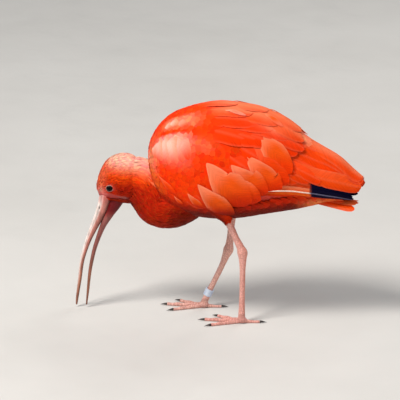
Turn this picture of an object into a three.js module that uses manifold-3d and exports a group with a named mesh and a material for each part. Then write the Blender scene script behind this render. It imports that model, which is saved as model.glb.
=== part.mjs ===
// A scarlet ibis, adult, at life size, wading with its neck folded and its long bill lowered and a bit open.
// Millimetres, +Z up. The bill points towards -X and the bird's left side faces -Y.
// It stands on the flats under its toes, at z = 0. The origin is the middle of the whole bird's footprint.
import * as THREE from "three";
import { mergeVertices } from "three/addons/utils/BufferGeometryUtils.js";
import Module from "manifold-3d";

const wasm = await Module();
wasm.setup();

// Gaps and thicknesses
const GAP = 0.35;
const VANE_THICK = 0.8;
const VANE_TIP_THICK = 0.5;
const FAR = 600;
const DEGREE = Math.PI / 180;

// Colours
const SCARLET = 0xe8380f;
const PALE_SCARLET = 0xf0642f;
const BILL_PINK = 0xc08074;
const LEG_PINK = 0xd98272;
const NAVY = 0x141432;
const EYE_BLACK = 0x0b0808;
const CLAW_BROWN = 0x4a3530;
const BAND_GREY = 0xb4b8be;

// Body outline with the wings folded, one row for each station along x: the top and bottom of the plumage,
// its greatest half width, the height of that width, the exponent of the section's curve, where 2 is an
// ellipse, and the lower and upper edge of the wing, in degrees round the section from the flank.
const BODY = [
  { x: -114, top: 243, bottom: 220, half: 9, wide: 230, power: 2, low: -20, high: 44 },
  { x: -111, top: 253, bottom: 205, half: 21, wide: 229, power: 2, low: -24, high: 46 },
  { x: -105, top: 265, bottom: 189, half: 33, wide: 227, power: 2, low: -28, high: 46 },
  { x: -96, top: 277, bottom: 173, half: 43, wide: 224, power: 2.1, low: -31, high: 44 },
  { x: -82, top: 289, bottom: 157, half: 51, wide: 220, power: 2.1, low: -34, high: 40 },
  { x: -62, top: 298, bottom: 149, half: 57, wide: 217, power: 2.2, low: -36, high: 37 },
  { x: -38, top: 305, bottom: 145, half: 60, wide: 216, power: 2.2, low: -41, high: 38 },
  { x: -10, top: 307, bottom: 144, half: 61, wide: 216, power: 2.2, low: -46, high: 38 },
  { x: 20, top: 305, bottom: 147, half: 59, wide: 216, power: 2.1, low: -40, high: 33 },
  { x: 48, top: 299.5, bottom: 153, half: 54, wide: 215, power: 2.1, low: -33, high: 34 },
  { x: 75, top: 288, bottom: 158, half: 47, wide: 212, power: 2, low: -29, high: 44 },
  { x: 95, top: 275, bottom: 162, half: 40, wide: 209, power: 1.9, low: -27, high: 70 },
  { x: 106, top: 266, bottom: 165, half: 37, wide: 207, power: 1.9, low: -27, high: 90 },
  { x: 125, top: 254, bottom: 170, half: 31, wide: 203, power: 1.8, low: -28, high: 90 },
  { x: 150, top: 238, bottom: 176, half: 24, wide: 198, power: 1.8, low: -42, high: 90 },
  { x: 172, top: 219, bottom: 176, half: 17, wide: 194, power: 1.8, low: -56, high: 90 },
  { x: 192, top: 203, bottom: 179, half: 9, wide: 191, power: 1.8, low: -60, high: 90 },
];
const BODY_SIDES = 20;
const WEDGE_SIDES = 6;
const WEDGE_SPACING = 22;
const WEDGE_REACH = 16;
const SKIN_DEPTH = 1.2;

// Depth of the folded wing on the torso, and how far the rump lies under the wings' ends
const WING_DEPTH = 9;
const WING_END_DEPTH = 4.5;
const RUMP_DROP = 13;
const RUMP_FROM = 60;
const RUMP_SHUT = 0.45;
const SHOULDER = { from: -112, full: -85 };
const LEAST = 2;
const TORSO_END = 124;
const MANTLE_END = 110;
const ROOM_STATIONS = [146, 170, 196];
const ROOM_BELOW = 25;
const ROOM_OPEN = 135;
const CORE_SPACING = 36;
const WING_SLAB_END = 142;
const PRIMARY_SPLIT = 121;

// Tail: its core of covert feathers under the rump, and its feathers in pairs, fanned in a low roof
const TAIL_CORE = [
  { x: 100, wide: 175.5, half: 10, deep: 6 },
  { x: 112, wide: 175, half: 14, deep: 7 },
  { x: 128, wide: 174.4, half: 14, deep: 5.2 },
  { x: 144, wide: 174.6, half: 9, deep: 2.2 },
];
const TAIL = { pairs: 4, root: 106, tip: 179, outerTip: 177, high: 182, spread: 16, drop: 6.5, fall: 13.5, width: 17 };

// Head, one row for each station along its axis from the forehead's foot: the crown's and the throat's
// distance from the axis, and the half width
const HEAD_FOOT = { x: -183.3, z: 164.5 };
const HEAD_TILT = 18;
const HEAD = [
  { x: -2.5, top: 7, bottom: 1, half: 4 },
  { x: 0, top: 17, bottom: -1.5, half: 7.5 },
  { x: 3, top: 23, bottom: -3.5, half: 9.2 },
  { x: 8, top: 31, bottom: -7, half: 11.4 },
  { x: 16, top: 40.5, bottom: -11.5, half: 14.4 },
  { x: 27, top: 48.5, bottom: -16.5, half: 18.5 },
  { x: 40, top: 51.5, bottom: -21, half: 22 },
  { x: 52, top: 50, bottom: -22, half: 23 },
  { x: 62, top: 44.5, bottom: -16, half: 20 },
  { x: 68, top: 35, bottom: -6, half: 14 },
];
const HEAD_SIDES = 18;

// Eyes, with their lids
const EYE = { x: -167.6, z: 181.2, radius: 5.4, sink: 2.2 };
const LID = { radius: 5, thick: 1.25, open: 0.86, sides: 5, steps: 14, turn: 8, out: 0.5 };

// Centre lines in the bird's middle plane, with half the depth along the plane and half the width across it
const NECK = [
  { x: -140, z: 192, deep: 31, wide: 21 },
  { x: -126, z: 189, deep: 33, wide: 24 },
  { x: -113, z: 175, deep: 31, wide: 27 },
  { x: -101, z: 160, deep: 33.5, wide: 30 },
  { x: -84, z: 158.5, deep: 33.5, wide: 34 },
  { x: -66, z: 166, deep: 32, wide: 38 },
  { x: -46, z: 178, deep: 28, wide: 38 },
];
const NECK_SIDES = 20;
const NECK_STEPS = 10;
const NAPE_SPLIT = { x: -126, z: 187, turn: 112 };
const NECK_SPLIT = { x: -101, z: 160, turn: 110 };
const UPPER_BILL = [
  { x: -175.5, z: 170, deep: 8.5, wide: 8 },
  { x: -180.5, z: 150, deep: 7.9, wide: 7.4 },
  { x: -184.7, z: 138.1, deep: 7, wide: 6.8 },
  { x: -195.4, z: 114.1, deep: 5.1, wide: 5.6 },
  { x: -202.1, z: 97.6, deep: 4.1, wide: 4.9 },
  { x: -210.3, z: 69.4, deep: 3, wide: 4 },
  { x: -214.3, z: 39.9, deep: 2.5, wide: 3.3 },
  { x: -218.3, z: 11.8, deep: 1.8, wide: 2.3 },
  { x: -219.1, z: 3.4, deep: 1.1, wide: 1.4 },
];
const LOWER_BILL = [
  { x: -157.5, z: 163, deep: 8.7, wide: 7.4 },
  { x: -163.2, z: 154, deep: 8.6, wide: 7.2 },
  { x: -170.5, z: 140.3, deep: 6.2, wide: 6.4 },
  { x: -180.3, z: 121.5, deep: 4.2, wide: 5.4 },
  { x: -187.6, z: 102.5, deep: 3.2, wide: 4.6 },
  { x: -193.2, z: 84.8, deep: 2.8, wide: 4.1 },
  { x: -199.2, z: 55.3, deep: 2.3, wide: 3.4 },
  { x: -202.5, z: 25.8, deep: 1.8, wide: 2.7 },
  { x: -204.8, z: 4, deep: 1, wide: 1.3 },
];
const BILL_SIDES = 12;
const BILL_STEPS = 18;

// Nostril, a slit along the upper bill, and the line of the mouth behind the bill's root
const NOSTRIL = { from: { x: -179, z: 152 }, to: { x: -183.5, z: 141 }, tall: 1.4, apart: 3.6 };
const MOUTH = { from: { x: -172, z: 150.5 }, to: { x: -147, z: 168 }, tall: 0.9 };

// Legs. Each runs from inside its thigh over the ankle to the middle of its foot.
const NEAR_LEG = [
  { x: -4, y: -27, z: 158, r: 8 },
  { x: 3, y: -27, z: 143, r: 5.4 },
  { x: 12, y: -27, z: 123, r: 4.6 },
  { x: 19, y: -27, z: 109, r: 5.4 },
  { x: 21.8, y: -27, z: 101.5, r: 7.2 },
  { x: 22.2, y: -27, z: 93, r: 5.6 },
  { x: 22.2, y: -27.4, z: 76, r: 4.1 },
  { x: 21.8, y: -28, z: 45, r: 3.9 },
  { x: 21.5, y: -28.6, z: 22, r: 4.3 },
  { x: 21.3, y: -29, z: 5, r: 5.2 },
];
const FAR_LEG = [
  { x: 2, y: 27, z: 158, r: 8 },
  { x: -1, y: 27, z: 140, r: 5.4 },
  { x: -4, y: 27, z: 112, r: 4.5 },
  { x: -5.5, y: 27, z: 96, r: 5.4 },
  { x: -7, y: 27, z: 87.5, r: 7.2 },
  { x: -10.5, y: 27.1, z: 78.5, r: 5.5 },
  { x: -16, y: 27.4, z: 64, r: 4.1 },
  { x: -27.5, y: 28.2, z: 39, r: 3.9 },
  { x: -36.5, y: 28.8, z: 20, r: 4.2 },
  { x: -42.5, y: 29, z: 5, r: 5.2 },
];
const LEG_SIDES = 10;
const LEG_STEPS = 18;
const ANKLE_SPLIT = 8;
const FOOT_SPLIT = 13;
const NEAR_THIGH = [
  { x: -18, y: -30, z: 188, r: 20 },
  { x: -13.5, y: -30, z: 173, r: 19 },
  { x: -6, y: -28.5, z: 160, r: 13 },
  { x: -0.5, y: -27.3, z: 150.5, r: 8.2 },
  { x: 1.5, y: -27, z: 146, r: 6.6 },
];
const FAR_THIGH = [
  { x: -6, y: 30, z: 186, r: 19 },
  { x: -3.5, y: 30, z: 172, r: 18 },
  { x: -2, y: 28.5, z: 159, r: 12.5 },
  { x: -0.5, y: 27.3, z: 149, r: 8 },
  { x: -0.8, y: 27, z: 144, r: 6.6 },
];
const THIGH_SIDES = 14;

// Toes, by their turn from straight ahead, length without the claw, and joint pads
const TOES = [
  { name: "inner", turn: 27, length: 41, r: 3.1, pads: 2 },
  { name: "middle", turn: 0, length: 52, r: 3.3, pads: 3 },
  { name: "outer", turn: -29, length: 45, r: 3.1, pads: 3 },
  { name: "hind", turn: 172, length: 25, r: 2.7, pads: 1 },
];
const SOLE_DEPTH = 0.9;
const HUB = { r: 6.4, flat: 0.75 };
const CLAW = { length: 9.5, r: 1.7, drop: 1, height: 1.6 };

// Band on the far leg, and how far it stands above the floor along the leg
const BAND = { height: 10.5, outer: 6, wall: 1.35, low: [-37.5, 28.85, 18], high: [-33, 28.55, 27.6] };

// Smooth value of one column of a table at x, by cubic pieces through its rows
function column(table, key, x) {
  const last = table.length - 1;
  if (x <= table[0].x) return table[0][key];
  if (x >= table[last].x) return table[last][key];
  let i = 0;
  while (x > table[i + 1].x) i++;
  const a = table[i];
  const b = table[i + 1];
  const before = table[Math.max(i - 1, 0)];
  const after = table[Math.min(i + 2, last)];
  const slopeA = (b[key] - before[key]) / (b.x - before.x);
  const slopeB = (after[key] - a[key]) / (after.x - a.x);
  const span = b.x - a.x;
  const t = (x - a.x) / span;
  const t2 = t * t;
  const t3 = t2 * t;
  const start = (2 * t3 - 3 * t2 + 1) * a[key] + (t3 - 2 * t2 + t) * span * slopeA;
  return start + (3 * t2 - 2 * t3) * b[key] + (t3 - t2) * span * slopeB;
}

const section = (x) => Object.fromEntries(Object.keys(BODY[0]).map((key) => [key, column(BODY, key, x)]));

// Point on a rounded section: rise and drop are its reach above and below the height of its greatest width
function onSection(x, angle, { half, wide, rise, drop, power }) {
  const c = Math.cos(angle);
  const e = Math.sin(angle);
  const y = half * Math.sign(c) * Math.abs(c) ** (2 / power);
  const z = wide + (e >= 0 ? rise : drop) * Math.sign(e) * Math.abs(e) ** (2 / power);
  return new THREE.Vector3(x, -y, z);
}

// A point of the plumage's outline at x and at an angle round the section: -90 degrees is the belly's keel,
// 0 is the left flank and 90 is the back's ridge. It can be moved out by grow within the section.
function platform(x, angle, grow = 0) {
  const s = section(x);
  const rise = s.top - s.wide + grow;
  const drop = s.wide - s.bottom + grow;
  return onSection(x, angle, { half: s.half + grow, wide: s.wide, rise, drop, power: s.power });
}

// The outward direction of that outline
function outward(x, angle) {
  const step = 0.02;
  const along = platform(x + 1, angle).sub(platform(x - 1, angle));
  const round = platform(x, angle + step).sub(platform(x, angle - step));
  return round.cross(along).normalize();
}

// The angle round the section at which a point of space lies
function angleOf(p) {
  const s = section(p.x);
  const rise = p.z - s.wide;
  const reach = rise >= 0 ? s.top - s.wide : s.wide - s.bottom;
  const e = Math.sign(rise) * Math.abs(rise / reach) ** (s.power / 2);
  const c = Math.sign(-p.y) * Math.abs(p.y / s.half) ** (s.power / 2);
  return Math.atan2(e, c);
}

const raised = (x, angle, lift) => platform(x, angle).addScaledVector(outward(x, angle), lift);

// Closed geometry through rings of points, with a fan over each end
function loft(rings) {
  const sides = rings[0].length;
  const middle = (ring) => ring.reduce((sum, p) => sum.add(p), new THREE.Vector3()).divideScalar(sides);
  const points = [...rings.flat(), middle(rings[0]), middle(rings[rings.length - 1])];
  const first = rings.length * sides;
  const index = [];
  for (let i = 0; i < rings.length - 1; i++)
    for (let j = 0; j < sides; j++) {
      const a = i * sides + j;
      const b = i * sides + ((j + 1) % sides);
      index.push(a, b, b + sides, a, b + sides, a + sides);
    }
  for (let j = 0; j < sides; j++) {
    const k = (j + 1) % sides;
    index.push(first, k, j, first + 1, first - sides + j, first - sides + k);
  }
  const geometry = new THREE.BufferGeometry().setFromPoints(points);
  geometry.setIndex(index);
  return geometry;
}

// A closed slab through rows of top and bottom points, split into triangles alike on both faces
function slab(rows) {
  const across = rows[0].top.length;
  const last = rows.length - 1;
  const points = [...rows.flatMap((row) => row.top), ...rows.flatMap((row) => row.under)];
  const under = rows.length * across;
  const index = [];
  const quad = (a, b, c, d) => index.push(a, b, c, a, c, d);
  for (let i = 0; i < last; i++) {
    const a = i * across;
    const c = a + across;
    for (let j = 0; j < across - 1; j++) {
      index.push(a + j, a + j + 1, c + j + 1, a + j, c + j + 1, c + j);
      const b = under + a + j;
      const d = under + c + j;
      index.push(b, d + 1, b + 1, b, d, d + 1);
    }
    quad(a, c, under + c, under + a);
    quad(c + across - 1, a + across - 1, under + a + across - 1, under + c + across - 1);
  }
  for (let j = 0; j < across - 1; j++) {
    const end = last * across + j;
    quad(j + 1, j, under + j, under + j + 1);
    quad(end, end + 1, under + end + 1, under + end);
  }
  const geometry = new THREE.BufferGeometry().setFromPoints(points);
  geometry.setIndex(index);
  return geometry;
}

// A three.js geometry as a solid that can be joined and cut
function solid(geometry) {
  const bare = new THREE.BufferGeometry();
  bare.setAttribute("position", geometry.getAttribute("position"));
  if (geometry.index) bare.setIndex(geometry.index);
  const merged = mergeVertices(bare, 1e-4);
  const vertProperties = merged.attributes.position.array;
  const make = (triVerts) => new wasm.Manifold(new wasm.Mesh({ numProp: 3, vertProperties, triVerts }));
  const faces = new Uint32Array(merged.index.array);
  const made = make(faces);
  if (made.volume() >= 0) return made;
  for (let i = 0; i < faces.length; i += 3) [faces[i + 1], faces[i + 2]] = [faces[i + 2], faces[i + 1]];
  return make(faces);
}

// The largest closed surface of a solid, which drops loose scraps and fills sealed hollows
const largest = (shape) => shape.decompose().reduce((best, p) => (p.volume() > best.volume() ? p : best));
const joined = (shapes) => shapes.reduce((whole, s) => whole.add(s));
const mirrored = (shape) => shape.mirror([0, 1, 0]);

const bird = new THREE.Group();

function place(shape, name, color, roughness = 0.6) {
  const result = largest(shape).getMesh();
  const geometry = new THREE.BufferGeometry();
  geometry.setAttribute("position", new THREE.BufferAttribute(result.vertProperties, 3));
  geometry.setIndex(new THREE.BufferAttribute(result.triVerts, 1));
  geometry.computeVertexNormals();
  const material = new THREE.MeshStandardMaterial({ color, roughness, metalness: 0 });
  const mesh = new THREE.Mesh(geometry, material);
  mesh.name = name;
  bird.add(mesh);
}

function block(low, high) {
  const size = high.map((v, i) => v - low[i]);
  const geometry = new THREE.BoxGeometry(...size);
  geometry.translate(...low.map((v, i) => v + size[i] / 2));
  return solid(geometry);
}

const belowFloor = block([-FAR, -FAR, -FAR], [FAR, FAR, 0]);
const aheadOf = (x) => block([-FAR, -FAR, -FAR], [x, FAR, FAR]);

// A tube along a centre line. Each row has x, z, y if it leaves the middle plane, and either a radius r or
// half its depth and half its width.
function sweep(rows, { sides, steps, grow = 0 }) {
  const centres = new THREE.CatmullRomCurve3(rows.map((p) => new THREE.Vector3(p.x, p.y ?? 0, p.z)));
  const halves = rows.map((p) => new THREE.Vector3(p.deep ?? p.r, p.wide ?? p.r, 0));
  const sizes = new THREE.CatmullRomCurve3(halves);
  const rings = [];
  for (let i = 0; i <= steps; i++) {
    const t = i / steps;
    const tangent = centres.getTangent(t);
    const side = new THREE.Vector3(0, 1, 0).addScaledVector(tangent, -tangent.y).normalize();
    const deep = new THREE.Vector3().crossVectors(side, tangent);
    const size = sizes.getPoint(t).addScalar(grow);
    const centre = centres.getPoint(t);
    if (grow && i === 0) centre.addScaledVector(tangent, -grow);
    if (grow && i === steps) centre.addScaledVector(tangent, grow);
    rings.push(
      Array.from({ length: sides }, (_, j) => {
        const angle = (2 * Math.PI * j) / sides;
        return centre
          .clone()
          .addScaledVector(deep, size.x * Math.cos(angle))
          .addScaledVector(side, size.y * Math.sin(angle));
      })
    );
  }
  return solid(loft(rings));
}

// The whole plumage as one solid, moved out by grow, with closer stations over the round front
const BREAST = [0, 2, 5, 10, 18];
const HULL_SPACING = 24;
const stations = (until, spacing) => {
  const front = BODY[0].x;
  const start = front + BREAST[BREAST.length - 1];
  const count = Math.round((until - front) / spacing);
  const even = Array.from({ length: count }, (_, i) => start + ((until - start) * (i + 1)) / count);
  return [...BREAST.map((step) => front + step), ...even];
};
const turns = Array.from({ length: BODY_SIDES }, (_, j) => (2 * Math.PI * j) / BODY_SIDES);
const HULL_STATIONS = stations(BODY[BODY.length - 1].x, HULL_SPACING);
const ringAt = (x, grow) => turns.map((angle) => platform(x, angle, grow));
const hull = (grow) => solid(loft(HULL_STATIONS.map((x) => ringAt(x, grow))));

// The body inside the folded wings: narrowed where they lie on it, lowered at the rump, and drawn in behind
// it. With open, it runs on to the wings' ends and out below them instead, as the room under the wings.
function core(grow, open = false) {
  const xs = [...stations(MANTLE_END, CORE_SPACING), TORSO_END];
  if (open) xs.push(...ROOM_STATIONS);
  const rings = xs.map((x) => {
    const s = section(x);
    const behind = THREE.MathUtils.smoothstep(x, MANTLE_END, BODY[BODY.length - 1].x);
    const depth = THREE.MathUtils.lerp(WING_DEPTH, WING_END_DEPTH, behind);
    const front = THREE.MathUtils.smoothstep(x, SHOULDER.from, SHOULDER.full);
    const rump = THREE.MathUtils.smoothstep(x, RUMP_FROM, MANTLE_END);
    const lower = THREE.MathUtils.lerp(RUMP_DROP, WING_END_DEPTH, behind) * rump;
    const shut = open ? 1 : 1 - RUMP_SHUT * THREE.MathUtils.smoothstep(x, MANTLE_END, TORSO_END);
    const below = open ? ROOM_BELOW * THREE.MathUtils.smoothstep(x, MANTLE_END, ROOM_OPEN) : 0;
    const half = Math.max(LEAST, s.half - depth * front) * shut + grow;
    const rise = Math.max(LEAST, s.top - s.wide - lower) * shut + grow;
    const drop = (s.wide - s.bottom) * shut + grow + below;
    return turns.map((angle) => onSection(x, angle, { half, wide: s.wide, rise, drop, power: s.power }));
  });
  return solid(loft(rings));
}

// Everything of the left wing lies in this wedge beside the body's middle plane
function wedge(grow) {
  const inner = -GAP / 2 + grow;
  const rings = stations(BODY[BODY.length - 1].x + 6, WEDGE_SPACING).map((x) => {
    const s = section(x);
    const margin = (1.3 * grow) / (s.half * DEGREE);
    const ring = [new THREE.Vector3(x, inner, s.wide)];
    for (let j = 0; j <= WEDGE_SIDES; j++) {
      const angle = s.low - margin + ((s.high - s.low + 2 * margin) * j) / WEDGE_SIDES;
      const p = platform(x, angle * DEGREE, WEDGE_REACH);
      p.y = Math.min(p.y, inner);
      ring.push(p);
    }
    return ring;
  });
  return solid(loft(rings));
}

// Feather vane laid on the plumage's outline between two places, each [x, degrees round the section].
// It bows sideways by some degrees, is sunk at its root, stands clear at its tip and tilts across its
// width, so that each vane lies over its neighbour.
const LONG_VANE = { shares: [0, 0.45, 0.86, 1], widths: [0.6, 1, 0.8, 0.24] };
const SHORT_VANE = { shares: [0, 0.45, 0.82, 1], widths: [0.6, 1, 0.86, 0.26] };
const SHORT = 48;
const VANE_STEP = 0.02;
function vane({ from, to, bow = 0, width, sunk = -2, lift = 1.1, tilt = 0.8, grow = 0 }) {
  const shape = Math.hypot(to[0] - from[0], to[1] - from[1]) < SHORT ? SHORT_VANE : LONG_VANE;
  const last = shape.shares.length - 1;
  const spotOf = (t) => {
    const angle = from[1] + (to[1] - from[1]) * t + bow * Math.sin(Math.PI * t);
    return [from[0] + (to[0] - from[0]) * t, angle * DEGREE];
  };
  const rows = shape.shares.map((share, i) => {
    const here = spotOf(share);
    const middle = platform(...here);
    const along = platform(...spotOf(share + VANE_STEP)).sub(platform(...spotOf(share - VANE_STEP)));
    const across = outward(...here).cross(along).normalize();
    const half = (width / 2) * shape.widths[i] + grow;
    const height = sunk + (lift - sunk) * Math.min(1, 1.6 * share);
    const thick = (i < last ? VANE_THICK : VANE_TIP_THICK) / 2 + grow;
    const spot = (side, depth) => {
      const p = middle.clone().addScaledVector(across, side * half);
      return raised(p.x, angleOf(p), height + depth - side * tilt * Math.min(1, 2 * share));
    };
    const sides = [-1, 0, 1];
    return { top: sides.map((side) => spot(side, thick)), under: sides.map((side) => spot(side, -thick)) };
  });
  return solid(slab(rows));
}

// A seeded draw, so that like feathers vary as real ones do and always the same way
function draws(seed) {
  let state = seed;
  return (spread) => {
    state = (state * 16807) % 2147483647;
    return spread * ((2 * state) / 2147483647 - 1);
  };
}

// A row of like vanes, whose sizes run evenly from the first feather to the last
const TIP_SPREAD = 2;
const TURN_SPREAD = 1;
const mixed = (a, b, t) => (Array.isArray(a) ? a.map((v, i) => mixed(v, b[i], t)) : a + (b - a) * t);
function tier(count, first, last, draw) {
  return Array.from({ length: count }, (_, i) => {
    const share = i / (count - 1);
    const sizes = Object.keys(first).map((key) => [key, mixed(first[key], last[key], share)]);
    const one = Object.fromEntries(sizes);
    one.to = [one.to[0] + draw(TIP_SPREAD), one.to[1] + draw(TURN_SPREAD)];
    return vane(one);
  });
}

// Torso, with the mantle and the scapulars that run back over the wings
const leftWedge = wedge(GAP);
const bothWedges = leftWedge.add(mirrored(leftWedge));
const torsoBody = (grow) =>
  core(grow).add(hull(grow - SKIN_DEPTH).intersect(aheadOf(MANTLE_END + grow)).subtract(bothWedges));
function scapulars(draw) {
  return joined(
    tier(
      3,
      { from: [-18, 41], to: [74, 43], width: 25 },
      { from: [8, 80], to: [103, 80], width: 30 },
      draw
    )
  );
}
const bothScapulars = scapulars(draws(5)).add(mirrored(scapulars(draws(17))));
const torsoFeathers = bothScapulars.intersect(aheadOf(MANTLE_END));
place(torsoBody(0).add(torsoFeathers).subtract(bothWedges.subtract(core(0))), "torso", SCARLET);
const roundTorso = torsoBody(GAP);
const roundHull = roundTorso.add(hull(GAP - SKIN_DEPTH));

// Primaries: the stacked long feathers whose dark ends show below the tertials
function primaries(draw, grow) {
  return joined(
    tier(
      4,
      { from: [38, -19], to: [174, -46], bow: 12, width: 14, sunk: -3, lift: -0.6, tilt: 0, grow },
      { from: [44, -4], to: [158, -6], bow: 3, width: 17, sunk: -4.6, lift: -2.6, tilt: 0, grow },
      draw
    )
  );
}

// Wings: a shell of coverts with its feathers in tiers, from the long rear ones to the small front ones
function wing(draw) {
  const shell = hull(-SKIN_DEPTH).intersect(aheadOf(WING_SLAB_END)).subtract(core(GAP, true));
  const secondaries = tier(
    4,
    { from: [14, -14], to: [62, -27], width: 21, lift: 0.7 },
    { from: [70, 14], to: [138, 6], width: 22, lift: 0.7 },
    draw
  );
  const tertials = tier(
    3,
    { from: [84, 26], to: [184, 20], bow: 5, width: 23, lift: 1 },
    { from: [90, 72], to: [184, 76], bow: 2, width: 27, lift: 2.4 },
    draw
  );
  const greater = tier(
    6,
    { from: [-38, -2], to: [4, -38], width: 26, lift: 1.2 },
    { from: [42, 38], to: [93, 8], width: 32, lift: 1.4 },
    draw
  );
  return joined([shell, ...secondaries, ...tertials, ...greater]);
}

const SIDES = [
  { name: "left", seed: 11, turned: (shape) => shape },
  { name: "right", seed: 29, turned: mirrored },
];
for (const { name, seed, turned } of SIDES) {
  const long = turned(primaries(draws(seed), 0).intersect(wedge(0))).subtract(roundTorso);
  const room = primaries(draws(seed), GAP);
  const folded = turned(wing(draws(seed + 2)).subtract(room).intersect(wedge(0))).subtract(roundTorso);
  place(folded, `wing_${name}`, SCARLET);
  place(long.intersect(aheadOf(PRIMARY_SPLIT - GAP / 2)), `primaries_${name}`, SCARLET);
  place(long.subtract(aheadOf(PRIMARY_SPLIT + GAP / 2)), `primary_tips_${name}`, NAVY);
}

// Tail: a core of covert feathers under the rump, and its feathers fanned in a low roof
function tailFeather(k) {
  const t = k / (TAIL.pairs - 1);
  const root = new THREE.Vector3(TAIL.root, -mixed(1, 8, t), TAIL.high);
  const tip = new THREE.Vector3(mixed(TAIL.tip, TAIL.outerTip, t), -mixed(4, TAIL.spread, t), TAIL.high);
  root.z -= mixed(0, 2, t);
  tip.z -= mixed(TAIL.drop, TAIL.fall, t);
  const along = tip.clone().sub(root).normalize();
  const roll = mixed(6, 24, t) * DEGREE;
  const rows = LONG_VANE.shares.map((share, i) => {
    const middle = root.clone().lerp(tip, share);
    const half = (TAIL.width / 2) * LONG_VANE.widths[i];
    const across = new THREE.Vector3(0, -Math.cos(roll), -Math.sin(roll));
    const up = new THREE.Vector3().crossVectors(along, across).normalize();
    if (up.z < 0) up.negate();
    const spot = (side, depth) =>
      middle.clone().addScaledVector(across, side * half).addScaledVector(up, depth - 0.6 * Math.abs(side));
    const thick = (i < LONG_VANE.shares.length - 1 ? VANE_THICK : VANE_TIP_THICK) / 2;
    const sides = [-1, 0, 1];
    return { top: sides.map((side) => spot(side, thick)), under: sides.map((side) => spot(side, -thick)) };
  });
  return solid(slab(rows));
}
function tail() {
  const rings = TAIL_CORE.map((row) =>
    turns.map((angle) => onSection(row.x, angle, { ...row, rise: row.deep, drop: row.deep, power: 2 }))
  );
  const half = joined(Array.from({ length: TAIL.pairs }, (_, k) => tailFeather(k))).intersect(
    block([-FAR, -FAR, -FAR], [FAR, GAP, FAR])
  );
  return solid(loft(rings)).add(half).add(mirrored(half)).subtract(roundTorso);
}

place(tail(), "tail", SCARLET);

// Head, lofted along its own axis
function headLoft() {
  const tilt = HEAD_TILT * DEGREE;
  const along = new THREE.Vector3(Math.cos(tilt), 0, Math.sin(tilt));
  const up = new THREE.Vector3(-Math.sin(tilt), 0, Math.cos(tilt));
  const rings = HEAD.map((row) => {
    const centre = new THREE.Vector3(HEAD_FOOT.x, 0, HEAD_FOOT.z)
      .addScaledVector(along, row.x)
      .addScaledVector(up, (row.top + row.bottom) / 2);
    return Array.from({ length: HEAD_SIDES }, (_, j) => {
      const angle = (2 * Math.PI * j) / HEAD_SIDES;
      const p = centre.clone().addScaledVector(up, ((row.top - row.bottom) / 2) * Math.cos(angle));
      p.y = row.half * Math.sin(angle);
      return p;
    });
  });
  return solid(loft(rings));
}

// The head's half width beside a place of its middle plane
function headWidth(x, z) {
  const tilt = HEAD_TILT * DEGREE;
  const s = (x - HEAD_FOOT.x) * Math.cos(tilt) + (z - HEAD_FOOT.z) * Math.sin(tilt);
  const t = (z - HEAD_FOOT.z) * Math.cos(tilt) - (x - HEAD_FOOT.x) * Math.sin(tilt);
  const top = column(HEAD, "top", s);
  const bottom = column(HEAD, "bottom", s);
  const share = (2 * t - top - bottom) / (top - bottom);
  return column(HEAD, "half", s) * Math.sqrt(1 - share * share);
}

const cheek = headWidth(EYE.x, EYE.z);
function eyeball(grow) {
  const geometry = new THREE.SphereGeometry(EYE.radius + grow, 14, 10);
  geometry.rotateX(Math.PI / 2);
  geometry.translate(EYE.x, EYE.sink - cheek, EYE.z);
  return solid(geometry);
}

// The ring of both lids round the left eye, wider than it is open
function lids() {
  const geometry = new THREE.TorusGeometry(LID.radius, LID.thick, LID.sides, LID.steps);
  geometry.scale(1, LID.open, 1);
  geometry.rotateX(Math.PI / 2);
  geometry.rotateZ(-LID.turn * DEGREE);
  geometry.translate(EYE.x, LID.out - cheek, EYE.z);
  return solid(geometry);
}

// A flat slit along a line of the middle plane, cut right across
function slit(from, to, tall, low, high) {
  const long = Math.hypot(to.x - from.x, to.z - from.z);
  const geometry = new THREE.BoxGeometry(long, high - low, tall);
  geometry.rotateY(-Math.atan2(to.z - from.z, to.x - from.x));
  geometry.translate((from.x + to.x) / 2, (low + high) / 2, (from.z + to.z) / 2);
  return solid(geometry);
}

const upperBill = (grow) => sweep(UPPER_BILL, { sides: BILL_SIDES, steps: BILL_STEPS, grow });
const lowerBill = (grow) => sweep(LOWER_BILL, { sides: BILL_SIDES, steps: BILL_STEPS, grow });
const neck = sweep(NECK, { sides: NECK_SIDES, steps: NECK_STEPS });

// A half space whose edge passes through a place of the middle plane. Its inward direction is turned from
// straight up by some degrees towards +X.
function beyond({ x, z, turn }, shift) {
  const geometry = new THREE.BoxGeometry(FAR, FAR, FAR);
  geometry.translate(0, 0, FAR / 2 + shift);
  geometry.rotateY(turn * DEGREE);
  geometry.translate(x, 0, z);
  return solid(geometry);
}

const bothLids = lids().add(mirrored(lids()));
const sockets = eyeball(GAP).add(mirrored(eyeball(GAP)));
const mouth = slit(MOUTH.from, MOUTH.to, MOUTH.tall, -FAR / 2, FAR / 2);
const headAndNeck = headLoft().subtract(mouth).add(neck);
const head = headAndNeck.subtract(beyond(NAPE_SPLIT, -GAP / 2));
const billRoom = upperBill(GAP).add(lowerBill(GAP));
place(head.add(bothLids).subtract(sockets).subtract(billRoom), "head", SCARLET);
const neckAlone = headAndNeck.intersect(beyond(NAPE_SPLIT, GAP / 2)).subtract(roundTorso);
place(neckAlone.subtract(beyond(NECK_SPLIT, -GAP / 2)), "neck_upper", SCARLET);
place(neckAlone.intersect(beyond(NECK_SPLIT, GAP / 2)), "neck_lower", SCARLET);
place(eyeball(0), "eye_left", EYE_BLACK, 0.08);
place(mirrored(eyeball(0)), "eye_right", EYE_BLACK, 0.08);

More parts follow.
